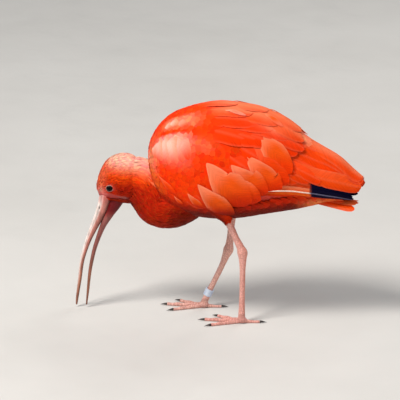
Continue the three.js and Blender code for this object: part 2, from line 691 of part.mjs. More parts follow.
const nostrils = slit(NOSTRIL.from, NOSTRIL.to, NOSTRIL.tall, -FAR / 2, -NOSTRIL.apart).add(
  slit(NOSTRIL.from, NOSTRIL.to, NOSTRIL.tall, NOSTRIL.apart, FAR / 2)
);
place(upperBill(0).subtract(nostrils), "bill_upper", BILL_PINK, 0.45);
place(lowerBill(0).subtract(upperBill(GAP)), "bill_lower", BILL_PINK, 0.45);

// The part of a solid between two heights, each given with the half gap that it keeps
const between = (shape, low, high) =>
  shape.intersect(block([-FAR, -FAR, low + GAP / 2], [FAR, FAR, high - GAP / 2]));

// One toe, with its pads, ending where its claw starts
const toeEnd = (root, toe, out) => {
  const angle = toe.turn * DEGREE;
  return new THREE.Vector3(root.x - Math.cos(angle) * out, root.y + Math.sin(angle) * out, 0);
};
function toeRows(root, toe) {
  const rows = [];
  const steps = 2 * toe.pads + 1;
  for (let i = 0; i <= steps; i++) {
    const p = toeEnd(root, toe, (toe.length * i) / steps);
    const pad = i % 2 === 1 ? 1.1 : 0.92;
    const r = toe.r * (1 - (0.3 * i) / steps) * pad;
    rows.push({ x: p.x, y: p.y, z: r - SOLE_DEPTH, r });
  }
  return rows;
}

function leg(rows, thighRows, side) {
  const whole = sweep(rows, { sides: LEG_SIDES, steps: LEG_STEPS });
  const thigh = sweep(thighRows, { sides: THIGH_SIDES, steps: 8 });
  const aroundThigh = sweep(thighRows, { sides: THIGH_SIDES, steps: 8, grow: GAP });
  const joint = rows.slice(1).reduce((a, b) => (b.r > a.r ? b : a));
  const ankle = joint.z - ANKLE_SPLIT;
  place(thigh.subtract(roundHull).subtract(bothWedges), `thigh_${side}`, PALE_SCARLET);
  place(between(whole, ankle, FAR).subtract(aroundThigh), `shank_${side}`, LEG_PINK);
  place(between(whole, FOOT_SPLIT, ankle), `tarsus_${side}`, LEG_PINK);
  const root = rows[rows.length - 1];
  const hub = new THREE.SphereGeometry(HUB.r, 10, 6);
  hub.scale(1.15, 1, HUB.flat);
  hub.translate(root.x, root.y, HUB.r * HUB.flat - SOLE_DEPTH);
  const toes = TOES.map((toe) => sweepAlong(toeRows(root, toe)));
  const foot = joined([between(whole, -FAR, FOOT_SPLIT), solid(hub), ...toes]);
  place(foot.subtract(belowFloor), `foot_${side}`, LEG_PINK);
  for (const toe of TOES) place(claw(root, toe), `claw_${toe.name}_${side}`, CLAW_BROWN, 0.4);
}

// A tube whose ends are cut square to its way over the floor
function sweepAlong(rows) {
  return sweep(rows, { sides: 7, steps: rows.length - 1 });
}

function claw(root, toe) {
  const rows = [0, 0.35, 0.7, 1].map((t) => {
    const p = toeEnd(root, toe, toe.length + GAP + CLAW.length * t);
    return { x: p.x, y: p.y, z: CLAW.height - CLAW.drop * t * t, r: Math.max(0.35, CLAW.r * (1 - t)) };
  });
  return sweep(rows, { sides: 6, steps: 4 }).subtract(belowFloor);
}

leg(NEAR_LEG, NEAR_THIGH, "left");
leg(FAR_LEG, FAR_THIGH, "right");

// Band: a plain ring round the far tarsus, square to it
function band() {
  const inner = BAND.outer - BAND.wall;
  const half = BAND.height / 2;
  const profile = [
    [inner, -half],
    [BAND.outer, -half],
    [BAND.outer, half],
    [inner, half],
    [inner, -half],
  ].map(([r, h]) => new THREE.Vector2(r, h));
  const geometry = new THREE.LatheGeometry(profile, 28);
  const low = new THREE.Vector3(...BAND.low);
  const high = new THREE.Vector3(...BAND.high);
  const way = high.clone().sub(low).normalize();
  geometry.applyQuaternion(new THREE.Quaternion().setFromUnitVectors(new THREE.Vector3(0, 1, 0), way));
  const middle = low.clone().add(high).multiplyScalar(0.5);
  geometry.translate(middle.x, middle.y, middle.z);
  return solid(geometry);
}
place(band(), "leg_band", BAND_GREY, 0.35);

const box = new THREE.Box3().setFromObject(bird);
bird.position.set(-(box.min.x + box.max.x) / 2, -(box.min.y + box.max.y) / 2, -box.min.z);

export default bird;
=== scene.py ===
"""A scarlet ibis at life size, wading with its neck folded and its long bill lowered: its looks over the
frame.

Sizes are millimetres in the bird's own axes, as in the part's source: the bill points towards -X, the left
side faces -Y, and +Z is up. They become metres, and the frame's own origin, where a mesh is made.
"""

import math

import bmesh
import bpy
import numpy as np
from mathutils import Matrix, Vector


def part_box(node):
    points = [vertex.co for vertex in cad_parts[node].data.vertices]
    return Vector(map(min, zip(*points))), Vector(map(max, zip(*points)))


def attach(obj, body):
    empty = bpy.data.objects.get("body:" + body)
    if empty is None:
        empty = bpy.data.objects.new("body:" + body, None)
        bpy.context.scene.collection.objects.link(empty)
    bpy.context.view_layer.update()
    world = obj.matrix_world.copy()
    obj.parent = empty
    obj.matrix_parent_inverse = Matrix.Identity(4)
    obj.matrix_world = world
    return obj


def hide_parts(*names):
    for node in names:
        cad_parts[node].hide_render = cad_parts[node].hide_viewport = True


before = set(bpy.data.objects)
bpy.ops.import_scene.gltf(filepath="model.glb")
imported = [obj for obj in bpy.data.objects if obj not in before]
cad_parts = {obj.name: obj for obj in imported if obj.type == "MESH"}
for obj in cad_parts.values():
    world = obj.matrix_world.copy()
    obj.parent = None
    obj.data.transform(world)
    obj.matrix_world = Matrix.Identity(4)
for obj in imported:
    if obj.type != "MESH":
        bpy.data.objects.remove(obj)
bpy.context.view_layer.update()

MM = 0.001
COAT_SEED = 7
WING_SEED_LEFT = 3
WING_SEED_RIGHT = 5
TAIL_SEED = 9
EYE = np.array([-167.6, 181.2])
EYE_RADIUS = 5.4
EYE_SINK = 2.2
EYE_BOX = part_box("eye_left")
SHIFT = np.array([(EYE_BOX[0][0] + EYE_BOX[1][0]) / 2 / MM - EYE[0], 0.0, 0.0])

# Plumage outline with the wings folded: x, top, bottom, half width, height of that width, and the exponent
# of the section's curve, where 2 is an ellipse
BODY = np.array([
    [-116, 232, 228, 1.5, 230, 2],
    [-114, 243, 220, 9, 230, 2],
    [-111, 253, 205, 21, 229, 2],
    [-105, 265, 189, 33, 227, 2],
    [-96, 277, 173, 43, 224, 2.1],
    [-82, 289, 157, 51, 220, 2.1],
    [-62, 298, 149, 57, 217, 2.2],
    [-38, 305, 145, 60, 216, 2.2],
    [-10, 307, 144, 61, 216, 2.2],
    [20, 305, 147, 59, 216, 2.1],
    [48, 299.5, 153, 54, 215, 2.1],
    [75, 288, 158, 47, 212, 2],
    [95, 275, 162, 40, 209, 1.9],
    [106, 266, 165, 37, 207, 1.9],
    [125, 254, 170, 31, 203, 1.8],
    [150, 238, 176, 24, 198, 1.8],
    [172, 219, 176, 17, 194, 1.8],
    [192, 203, 179, 9, 191, 1.8],
])

# Head, by stations along its axis: the crown's and the throat's distance from it, and the half width
HEAD_FOOT = np.array([-183.3, 164.5])
HEAD_TILT = math.radians(18)
HEAD = np.array([
    [-2.5, 7, 1, 4],
    [0, 17, -1.5, 7.5],
    [3, 23, -3.5, 9.2],
    [8, 31, -7, 11.4],
    [16, 40.5, -11.5, 14.4],
    [27, 48.5, -16.5, 18.5],
    [40, 51.5, -21, 22],
    [52, 50, -22, 23],
    [62, 44.5, -16, 20],
    [68, 35, -6, 14],
])

# Centre lines: x, y, z, half depth in the plane of the curve and half width across it
NECK = np.array([
    [-140, 0, 192, 31, 21],
    [-126, 0, 189, 33, 24],
    [-113, 0, 175, 31, 27],
    [-101, 0, 160, 33.5, 30],
    [-84, 0, 158.5, 33.5, 34],
    [-66, 0, 166, 32, 38],
    [-46, 0, 178, 28, 38],
])
UPPER_BILL = np.array([
    [-175.5, 0, 170, 8.5, 8],
    [-180.5, 0, 150, 7.9, 7.4],
    [-184.7, 0, 138.1, 7, 6.8],
    [-195.4, 0, 114.1, 5.1, 5.6],
    [-202.1, 0, 97.6, 4.1, 4.9],
    [-210.3, 0, 69.4, 3, 4],
    [-214.3, 0, 39.9, 2.5, 3.3],
    [-218.3, 0, 11.8, 1.8, 2.3],
    [-219.1, 0, 3.4, 1.1, 1.4],
])
LOWER_BILL = np.array([
    [-157.5, 0, 163, 8.7, 7.4],
    [-163.2, 0, 154, 8.6, 7.2],
    [-170.5, 0, 140.3, 6.2, 6.4],
    [-180.3, 0, 121.5, 4.2, 5.4],
    [-187.6, 0, 102.5, 3.2, 4.6],
    [-193.2, 0, 84.8, 2.8, 4.1],
    [-199.2, 0, 55.3, 2.3, 3.4],
    [-202.5, 0, 25.8, 1.8, 2.7],
    [-204.8, 0, 4, 1, 1.3],
])
NEAR_LEG = np.array([
    [-4, -27, 158, 8],
    [3, -27, 143, 5.4],
    [12, -27, 123, 4.6],
    [19, -27, 109, 5.4],
    [21.8, -27, 101.5, 7.2],
    [22.2, -27, 93, 5.6],
    [22.2, -27.4, 76, 4.1],
    [21.8, -28, 45, 3.9],
    [21.5, -28.6, 22, 4.3],
    [21.3, -29, 5, 5.2],
])
FAR_LEG = np.array([
    [2, 27, 158, 8],
    [-1, 27, 140, 5.4],
    [-4, 27, 112, 4.5],
    [-5.5, 27, 96, 5.4],
    [-7, 27, 87.5, 7.2],
    [-10.5, 27.1, 78.5, 5.5],
    [-16, 27.4, 64, 4.1],
    [-27.5, 28.2, 39, 3.9],
    [-36.5, 28.8, 20, 4.2],
    [-42.5, 29, 5, 5.2],
])
NEAR_THIGH = np.array([
    [-18, -30, 188, 20],
    [-13.5, -30, 173, 19],
    [-6, -28.5, 160, 13],
    [-0.5, -27.3, 150.5, 8.2],
    [1.5, -27, 146, 6.6],
])
FAR_THIGH = np.array([
    [-6, 30, 186, 19],
    [-3.5, 30, 172, 18],
    [-2, 28.5, 159, 12.5],
    [-0.5, 27.3, 149, 8],
    [-0.8, 27, 144, 6.6],
])

# Toes: name, turn from straight ahead in degrees, length without the claw, radius, joint pads
TOES = (
    ("inner", 27, 41, 3.1, 2),
    ("middle", 0, 52, 3.3, 3),
    ("outer", -29, 45, 3.1, 3),
    ("hind", 172, 25, 2.7, 1),
)
SOLE_DEPTH = 0.9
LEG_VOXEL = 0.55
SCUTE_LENGTH = 3.4
SEAM_DEPTH = 0.28
HUB_RADIUS = 6.4
HUB_FLAT = 0.75
CLAW_LENGTH = 9.5
CLAW_RADIUS = 1.7
GAP = 0.35
BAND_LOW = np.array([-37.5, 28.85, 18])
BAND_HIGH = np.array([-33, 28.55, 27.6])
BAND_OUTER = 6.0
BAND_WALL = 1.35
BAND_HEIGHT = 10.5
BAND_SOFT = 0.35
BAND_SIDES = 72

# The photograph's frame: a view 17 degrees down and 10 degrees round, 560 mm wide at the bird
VIEW_TURN = math.radians(10)
VIEW_DROP = math.radians(17)
VIEW_DISTANCE = 6000.0
VIEW_WIDTH = 560.0
SENSOR = 36.0
VIEW_RIGHT = -42.0
VIEW_UP = 161.0


# Colours, from sRGB to the renderer's linear values
def colour(*rgb):
    srgb = np.array(rgb) / 255
    return np.where(srgb <= 0.04045, srgb / 12.92, ((srgb + 0.055) / 1.055) ** 2.4)


SCARLET = colour(251, 56, 0)
DEEP_RED = colour(172, 20, 0)
# Deep red for painted shade: the belly, the throat, the chin and the thighs' rear
SHADE_RED = colour(104, 9, 0)
ORANGE = colour(244, 86, 10)
PALE_ORANGE = colour(245, 108, 34)
SALMON = colour(253, 142, 104)
PINK_WHITE = colour(255, 220, 202)
PALE_PINK = colour(253, 182, 160)
NAVY = colour(8, 7, 40)
FACE_PINK = colour(222, 102, 94)
FACE_CRIMSON = colour(190, 52, 46)
GAPE_RED = colour(104, 0, 8)
BILL_SIDE = colour(212, 136, 122)
BILL_PALE = colour(255, 236, 228)
BILL_LOW = colour(150, 86, 80)
BILL_BROWN = colour(88, 52, 44)
BILL_TAN = colour(176, 118, 86)
LEG_PINK = colour(255, 186, 172)
LEG_ORANGE = colour(244, 140, 104)
LEG_SHADE = colour(196, 122, 110)
SHAFT_GREY = colour(96, 92, 116)
CLAW_DARK = colour(62, 44, 38)
CLAW_TIP = colour(28, 22, 20)
PUPIL = colour(5, 4, 5)
IRIS_BROWN = colour(16, 8, 6)
LID_BROWN = colour(158, 112, 98)
LID_EDGE = colour(198, 128, 112)


# Smooth curves
def smooth(value, low, high):
    t = np.clip((value - low) / (high - low), 0, 1)
    return t * t * (3 - 2 * t)


def mix(a, b, share):
    share = np.asarray(share)[..., None]
    return a * (1 - share) + b * share


def layered(tone, *layers):
    """A colour with others laid over it in turn, each given with its share."""
    for over, share in layers:
        tone = mix(tone, over, share)
    return tone


def bell(*terms):
    """1 where each value is at its middle and near 0 some widths away, by terms of value, middle and width."""
    return np.exp(-sum(((value - middle) / width) ** 2 for value, middle, width in terms))


def unit(v):
    return v / np.maximum(np.linalg.norm(v, axis=-1, keepdims=True), 1e-9)


def column(table, x):
    """Rows of a table at x, by cubic pieces through its rows."""
    x = np.clip(x, table[0, 0], table[-1, 0])
    i = np.clip(np.searchsorted(table[:, 0], x, side="right") - 1, 0, len(table) - 2)
    a = table[i]
    b = table[i + 1]
    before = table[np.maximum(i - 1, 0)]
    after = table[np.minimum(i + 2, len(table) - 1)]
    slope_a = (b - before) / (b[..., :1] - before[..., :1])
    slope_b = (after - a) / (after[..., :1] - a[..., :1])
    span = b[..., :1] - a[..., :1]
    t = (x[..., None] - a[..., :1]) / span
    rise = (2 * t**3 - 3 * t**2 + 1) * a + (t**3 - 2 * t**2 + t) * span * slope_a
    return rise + (3 * t**2 - 2 * t**3) * b + (t**3 - t**2) * span * slope_b


def catmull(points, t):
    """A smooth curve through rows of points, t from 0 to 1, and straight on a little beyond either end."""
    beyond = np.asarray(t - np.clip(t, 0, 1))[..., None]
    ends = np.where(beyond > 0, points[-1] - points[-2], points[1] - points[0]) * (len(points) - 1)
    return catmull_within(points, t) + beyond * ends


def knot(a, b, least):
    gap = np.sqrt(np.linalg.norm(b - a, axis=-1, keepdims=True))
    return np.where(gap < 1e-4, least, gap)


def catmull_within(points, t):
    count = len(points) - 1
    s = np.clip(t, 0, 1) * count
    i = np.clip(np.floor(s).astype(int), 0, count - 1)
    f = (s - i)[..., None]
    p1 = points[i]
    p2 = points[i + 1]
    p0 = np.where(i[..., None] > 0, points[np.maximum(i - 1, 0)], 2 * p1 - p2)
    p3 = np.where(i[..., None] < count - 1, points[np.minimum(i + 2, count)], 2 * p2 - p1)
    middle = knot(p1, p2, 1.0)
    before = knot(p0, p1, middle)
    after = knot(p2, p3, middle)
    leave = ((p1 - p0) / before - (p2 - p0) / (before + middle)) * middle + p2 - p1
    arrive = ((p3 - p2) / after - (p3 - p1) / (middle + after)) * middle + p2 - p1
    bend = 3 * (p2 - p1) - 2 * leave - arrive
    twist = 2 * (p1 - p2) + leave + arrive
    return p1 + leave * f + bend * f**2 + twist * f**3


# Surfaces: each gives points at a place along it and an angle round it
def power(value, exponent):
    return np.sign(value) * np.abs(value) ** exponent


def body_at(x, angle):
    s = column(BODY, x)
    c = np.cos(angle)
    e = np.sin(angle)
    reach = np.where(e >= 0, s[..., 1] - s[..., 4], s[..., 4] - s[..., 2])
    y = -s[..., 3] * power(c, 2 / s[..., 5])
    z = s[..., 4] + reach * power(e, 2 / s[..., 5])
    return np.stack([np.broadcast_to(x, y.shape), y, z], -1)


def head_at(s, angle):
    rows = column(HEAD, s)
    middle = (rows[..., 1] + rows[..., 2]) / 2
    tall = (rows[..., 1] - rows[..., 2]) / 2
    up = middle + tall * np.cos(angle)
    x = HEAD_FOOT[0] + s * math.cos(HEAD_TILT) - up * math.sin(HEAD_TILT)
    z = HEAD_FOOT[1] + s * math.sin(HEAD_TILT) + up * math.cos(HEAD_TILT)
    return np.stack([x, -rows[..., 3] * np.sin(angle), z], -1)


def tube(table):
    """Surface of a tube along a centre line. The angle 0 is on the curve's upper or rear side, and 90 degrees
    on the left."""
    sizes = table[:, 3:] if table.shape[1] == 5 else np.repeat(table[:, 3:], 2, axis=1)

    def at(t, angle):
        t = np.asarray(t, float)
        centre = catmull(table[:, :3], t)
        ahead = catmull(table[:, :3], t + 1e-3)
        back = catmull(table[:, :3], t - 1e-3)
        way = unit(ahead - back)
        side = np.zeros_like(way)
        side[..., 1] = 1
        side = unit(side - way * way[..., 1:2])
        deep = np.cross(side, way)
        size = catmull(sizes, np.clip(t, 0, 1))
        across = deep * (size[..., :1] * np.cos(angle)[..., None])
        return centre + across - side * (size[..., 1:] * np.sin(angle)[..., None])

    return at


neck_at = tube(NECK)


def partials(at, t, angle, step):
    along = at(t + step, angle) - at(t - step, angle)
    turn = 0.01
    round_ = at(t, angle + turn) - at(t, angle - turn)
    return along / (2 * step), round_ / (2 * turn)


def normals(at, t, angle, step, inside):
    along, round_ = partials(at, t, angle, step)
    n = unit(np.cross(along, round_))
    p = at(t, angle)
    flip = np.sign(np.sum(n * (p - inside), -1, keepdims=True))
    return p, n * np.where(flip == 0, 1, flip), along, round_


def body_inside(x, angle):
    s = column(BODY, x)
    deep = np.broadcast_to(x, s[..., 3].shape) + 12 * smooth(-x, 96, 114)
    return np.stack([deep, 0 * s[..., 3], s[..., 4]], -1)


def head_inside(s, angle):
    rows = column(HEAD, s)
    middle = (rows[..., 1] + rows[..., 2]) / 2
    deep = s + 4 * smooth(-s, -8, 0)
    x = HEAD_FOOT[0] + deep * math.cos(HEAD_TILT) - middle * math.sin(HEAD_TILT)
    z = HEAD_FOOT[1] + deep * math.sin(HEAD_TILT) + middle * math.cos(HEAD_TILT)
    return np.stack([x, 0 * x, z], -1)


def tube_inside(table):
    return lambda t, angle: catmull(table[:, :3], np.asarray(t, float))


SURFACES = {
    "body": (body_at, body_inside, 0.5),
    "head": (head_at, head_inside, 0.3),
    "neck": (neck_at, tube_inside(NECK), 0.004),
    "thigh_left": (tube(NEAR_THIGH), tube_inside(NEAR_THIGH), 0.01),
    "thigh_right": (tube(FAR_THIGH), tube_inside(FAR_THIGH), 0.01),
}


# Meshes from arrays
def placed(name, data):
    """A new object of a mesh, a camera or a light in the scene."""
    thing = bpy.data.objects.new(name, data)
    bpy.context.scene.collection.objects.link(thing)
    return thing


def make_mesh(name, points, quads, paint=None, vane=None, bake=None, sharp=None):
    """Object from points in millimetres and quads, with a colour, places on the vane and on the bake map, and
    a flag of sharp edges for each point."""
    mesh = bpy.data.meshes.new(name)
    points = (np.asarray(points, float).reshape(-1, 3) + SHIFT) * MM
    quads = np.asarray(quads).reshape(-1, 4)
    mesh.vertices.add(len(points))
    mesh.vertices.foreach_set("co", points.astype(np.float32).ravel())
    mesh.loops.add(quads.size)
    mesh.loops.foreach_set("vertex_index", quads.astype(np.int32).ravel())
    mesh.polygons.add(len(quads))
    mesh.polygons.foreach_set("loop_start", np.arange(0, quads.size, 4, dtype=np.int32))
    mesh.polygons.foreach_set("loop_total", np.full(len(quads), 4, dtype=np.int32))
    mesh.update(calc_edges=True)
    for layer, places in (("OFBake", bake), ("vane", vane)):
        if places is not None:
            places = np.asarray(places, float).reshape(-1, 2)[quads.ravel()]
            mesh.uv_layers.new(name=layer).data.foreach_set("uv", places.astype(np.float32).ravel())
    if paint is not None:
        layer = mesh.color_attributes.new(name="paint", type="FLOAT_COLOR", domain="POINT")
        rgba = np.ones((len(points), 4))
        rgba[:, :3] = np.clip(np.asarray(paint, float).reshape(-1, 3), 0, 1)
        layer.data.foreach_set("color", rgba.astype(np.float32).ravel())
    mesh.polygons.foreach_set("use_smooth", np.ones(len(quads), bool))
    if sharp is not None:
        pairs = np.empty(len(mesh.edges) * 2, dtype=np.int32)
        mesh.edges.foreach_get("vertices", pairs)
        flags = np.asarray(sharp).ravel()[pairs.reshape(-1, 2)].all(axis=1)
        mesh.attributes.new("sharp_edge", "BOOLEAN", "EDGE").data.foreach_set("value", flags)
    mesh.validate()
    return placed(name, mesh)


def finished(thing, material, slot, *nodes):
    """Give a piece its material, put it in place of its nodes and let it ride on the one body. The slot is not
    used.
    """
    thing.data.materials.append(material)
    if nodes:
        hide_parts(*nodes)
    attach(thing, "root")


def ring_places(stations, sides):
    """Grids of places along a form and of angles round it."""
    return np.meshgrid(stations, np.linspace(0, 2 * math.pi, sides, endpoint=False), indexing="ij")


def ring_quads(rows, sides):
    """Numbers of a grid of points whose rows close on themselves, and its quads."""
    grid = np.arange(rows * sides).reshape(rows, sides)
    following = np.roll(grid, -1, axis=1)
    return grid, np.stack([grid[:-1], following[:-1], following[1:], grid[1:]], -1).reshape(-1, 4)


def hoop_quads(turns, sides):
    """Quads of a grid of points that closes on itself both ways."""
    grid = np.arange(turns * sides).reshape(turns, sides)
    right = np.roll(grid, -1, axis=0)
    return np.stack([grid, right, np.roll(right, -1, axis=1), np.roll(grid, -1, axis=1)], -1).reshape(-1, 4)


def facing(quads, side):
    """The quads of a piece whose points are mirrored on the left side."""
    return quads if side == "right" else quads[:, ::-1]


def outline_of(rows, columns):
    outline = np.ones((rows, columns), bool)
    outline[1:-1, 1:-1] = False
    return outline


def sheets(top, under):
    """Values at the points of closed vanes, of a top sheet and an under sheet that share the outline."""
    flat = lambda a: a.reshape(len(a), -1, *a.shape[3:])
    return np.concatenate([flat(top), flat(under[:, 1:-1, 1:-1])], 1)


def vanes_of(top, under, length, bake, **values):
    """Closed vanes by their two sheets of points, lengths and roots on the bake map, and values over them."""
    count, rows, columns, _ = top.shape
    laid = {"points": sheets(top, under), "length": length, "bake": bake, "rows": rows, "columns": columns}
    for key, value in values.items():
        over = np.broadcast_to(value, (count, rows, columns))
        laid[key] = sheets(over, over)
    return laid


def vane_topology(rows, columns):
    """Quads of one closed vane: a top sheet and an under sheet that share the outline's points."""
    top = np.arange(rows * columns).reshape(rows, columns)
    under = top.copy()
    inner = np.arange((rows - 2) * (columns - 2)).reshape(rows - 2, columns - 2) + rows * columns
    under[1:-1, 1:-1] = inner
    faces = []
    for sheet, turned in ((top, False), (under, True)):
        quad = np.stack([sheet[:-1, :-1], sheet[:-1, 1:], sheet[1:, 1:], sheet[1:, :-1]], -1).reshape(-1, 4)
        faces.append(quad[:, ::-1] if turned else quad)
    flags = np.concatenate([outline_of(rows, columns).ravel(), np.zeros(inner.size, bool)])
    return np.concatenate(faces), flags


ROUND_VANE = (0.55, 0.34, 0.72, 0.5)
BAKE_PATCH = 0.003
BAKE_EDGE = 0.01
BAKE_BODY = 0.55
VANE_STRETCH = 36.0
VANE_STRETCHES = 40


def outline_width(v, shape):
    """Share of a vane's full width at each place along it. The shape gives the root's share, where it is
    full, where it starts to close, and 0.5 for a round end or more for a pointed one."""
    root, full, tip, point = shape
    swell = smooth(v, 0, full) if point <= 0.5 else np.clip(v / full, 0, 1) ** 0.85
    rise = root + (1 - root) * swell
    closing = np.clip(1 - (np.clip(v - tip, 0, 1) / (1 - tip + 1e-6)) ** 2, 0, 1) ** point
    return rise * np.maximum(closing, 0.05)


def share_of(table, t):
    return (t - table[0, 0]) / (table[-1, 0] - table[0, 0])


def bake_place(surface, t, angle):
    """Root's place on an unwrap of the skin: the body fills one band, and the head and neck the other."""
    turn = np.mod(angle + math.pi, 2 * math.pi) / (2 * math.pi)
    if surface == "body":
        return np.stack([BAKE_EDGE + 0.97 * share_of(BODY, t), BAKE_EDGE + BAKE_BODY * turn], -1)
    if surface == "neck":
        return np.stack([0.45 + 0.5 * t, 0.58 + 0.4 * turn], -1)
    if surface == "head":
        return np.stack([0.02 + 0.4 * share_of(HEAD, t), 0.58 + 0.4 * turn], -1)
    return np.stack([0.1 + 0.8 * t, 0.1 + 0.8 * turn], -1)


def lay_vanes(
    surface, root, tip, width, sunk, lift, thick, rows, columns,
    bow=0, tilt=0, shape=ROUND_VANE, curl=0, ragged=0, rise_rate=1.5,
):
    """Vanes laid on a surface from roots to tips, both given as places [along, angle in degrees]."""
    at, inside, step = SURFACES[surface]
    given = (width, sunk, lift, thick, bow, tilt, curl)
    each = [np.broadcast_to(np.asarray(value, float), len(root)) for value in given]
    width, sunk, lift, thick, bow, tilt, curl = np.array(each)[..., None, None]
    v = np.linspace(0, 1, rows)[None, :, None]
    u = np.linspace(-1, 1, columns)[None, None, :]
    path = root[:, None, :] + (tip - root)[:, None, :] * v[:, :, 0][..., None]
    path[..., 1] += bow[..., 0] * np.sin(math.pi * v[:, :, 0])
    t = path[..., 0]
    angle = np.radians(path[..., 1])
    p, n, pt, pa = normals(at, t, angle, step, inside(t, angle))
    delta = tip - root
    way = pt * delta[:, None, :1] + pa * np.radians(delta[:, None, 1:] + 0 * pt[..., :1])
    way += pa * np.radians(bow * math.pi * np.cos(math.pi * v))
    across = unit(np.cross(n, way))
    half = width / 2 * outline_width(v, shape) * (1 - ragged)
    shift = u * half
    dt = shift * (np.sum(across * pt, -1) / np.sum(pt * pt, -1))[..., None]
    da = shift * (np.sum(across * pa, -1) / np.maximum(np.sum(pa * pa, -1), 1e-6))[..., None]
    t2 = t[..., None] + dt
    a2 = angle[..., None] + da
    q, m, _, _ = normals(at, t2, a2, step, inside(t2, a2))
    rise = sunk + (lift - sunk) * np.minimum(1, rise_rate * v) + curl * v**3
    rise = rise - tilt * u * np.minimum(1, 2 * v)
    bulge = thick * (1 - 0.75 * u**2) * np.minimum(1, 6 * v) * np.minimum(1, 5 * (1 - v))
    ridge = thick * 0.5 * bell((u, 0, 0.12)) if columns > 5 else 0
    top = q + m * (rise + bulge / 2 + ridge)[..., None]
    under = q + m * (rise - bulge / 2)[..., None]
    outline = outline_of(rows, columns)
    edge = q + m * rise[..., None]
    top[:, outline] = edge[:, outline]
    length = np.linalg.norm(p[:, -1] - p[:, 0], axis=-1)[:, None]
    bake = bake_place(surface, t[:, 0], angle[:, 0])
    return vanes_of(top, under, length, bake, v=v, u=u, half=half, t=t2, angle=a2)


def vane_object(name, laid, paint):
    count, size = laid["v"].shape
    faces, flags = vane_topology(laid["rows"], laid["columns"])
    quads = (faces[None] + (np.arange(count) * size)[:, None, None]).reshape(-1, 4)
    local = np.stack([laid["u"] * 0.5, laid["v"] - 0.5], -1) * BAKE_PATCH
    bake = laid["bake"][:, None, :] + local
    own = VANE_STRETCH * (np.arange(count) % VANE_STRETCHES)[:, None]
    vane = np.stack([laid["u"] * laid["half"], laid["v"] * laid["length"] + own], -1)
    return make_mesh(name, laid["points"], quads, paint, vane, np.clip(bake, 0, 1), np.tile(flags, count))


# Materials
class Nodes:
    """A short way to build a material's node tree. A value is a socket to link or a constant to set."""

    def __init__(self, name):
        self.material = bpy.data.materials.new(name)
        self.material.use_nodes = True
        self.tree = self.material.node_tree
        self.tree.nodes.clear()
        out = self.add("ShaderNodeOutputMaterial")
        self.shader = self.add("ShaderNodeBsdfPrincipled")
        self.put(self.shader.outputs[0], out.inputs[0])

    def add(self, kind, **settings):
        node = self.tree.nodes.new(kind)
        for key, value in settings.items():
            setattr(node, key, value)
        return node

    def put(self, value, socket):
        if hasattr(value, "is_linked"):
            self.tree.links.new(value, socket)
        else:
            socket.default_value = value

    def fill(self, node, **values):
        """The node with inputs filled by name."""
        for key, value in values.items():
            self.put(value, node.inputs[key.replace("_", " ")])
        return node

    def finish(self, **values):
        self.fill(self.shader, **values)
        return self.material

    def math(self, operation, value, *others):
        """A value taken with each of the others in turn, or on its own."""
        for other in others or (0.0,):
            node = self.add("ShaderNodeMath", operation=operation)
            self.put(value, node.inputs[0])
            self.put(other, node.inputs[1])
            value = node.outputs[0]
        return value

    def noise(self, scale, detail, vector=None):
        if vector is None:
            vector = self.add("ShaderNodeTexCoord").outputs["Object"]
        node = self.add("ShaderNodeTexNoise")
        return self.fill(node, Scale=scale, Detail=detail, Roughness=0.55, Vector=vector).outputs["Fac"]

    def range(self, value, low, high, to_low=0.0, to_high=1.0):
        node = self.add("ShaderNodeMapRange")
        self.fill(node, Value=value, From_Min=low, From_Max=high, To_Min=to_low, To_Max=to_high)
        return node.outputs[0]

    def blend(self, a, b, factor):
        node = self.add("ShaderNodeMix", data_type="RGBA")
        self.put(factor, node.inputs["Factor"])
        for value, socket in ((a, node.inputs[6]), (b, node.inputs[7])):
            self.put(value if hasattr(value, "is_linked") else (*value, 1.0), socket)
        return node.outputs[2]

    def scaled(self, vector, factor):
        node = self.add("ShaderNodeVectorMath", operation="SCALE")
        self.put(vector, node.inputs[0])
        return self.fill(node, Scale=factor).outputs[0]

    def flat(self, x, y):
        return self.fill(self.add("ShaderNodeCombineXYZ"), X=x, Y=y).outputs[0]

    def place(self):
        """Places across and along the vane map, in millimetres."""
        node = self.add("ShaderNodeSeparateXYZ")
        self.put(self.add("ShaderNodeUVMap", uv_map="vane").outputs[0], node.inputs[0])
        return node.outputs[0], node.outputs[1]

    def paint(self):
        return self.add("ShaderNodeVertexColor", layer_name="paint").outputs["Color"]

    def bump(self, height, distance):
        node = self.add("ShaderNodeBump")
        return self.fill(node, Distance=distance, Strength=1.0, Height=height).outputs[0]


def feather_material(name, barb, depth, sheen):
    """Barbs run out from the shaft at a slant, a given distance apart in millimetres."""
    m = Nodes(name)
    across, along = m.place()
    line = m.math("SUBTRACT", along, m.math("MULTIPLY", m.math("ABSOLUTE", across), 1.1))
    wobble = m.math("MULTIPLY", m.noise(260.0, 2.0), barb * 0.9)
    wave = m.math("SINE", m.math("MULTIPLY", m.math("ADD", line, wobble), 2 * math.pi / barb))
    height = m.range(wave, -1.0, 1.0)
    streak = m.noise(900.0, 2.0)
    strand = m.flat(m.math("MULTIPLY", across, 0.06), m.math("MULTIPLY", line, 0.42))
    clump = m.range(m.noise(1.0, 3.0, strand), 0.3, 0.7)
    parts = ((height, 0.1), (streak, 0.12), (m.noise(70.0, 4.0), 0.22), (clump, 0.2))
    shade = m.math("ADD", *[m.math("MULTIPLY", part, share) for part, share in parts], 0.68)
    return m.finish(
        Base_Color=m.scaled(m.paint(), shade),
        Roughness=m.range(streak, 0.3, 0.7, 0.5, 0.68),
        Normal=m.bump(height, depth),
        Sheen_Weight=sheen,
        Sheen_Roughness=0.4,
        Sheen_Tint=(1.0, 0.4, 0.24, 1.0),
        Specular_IOR_Level=0.05,
    )


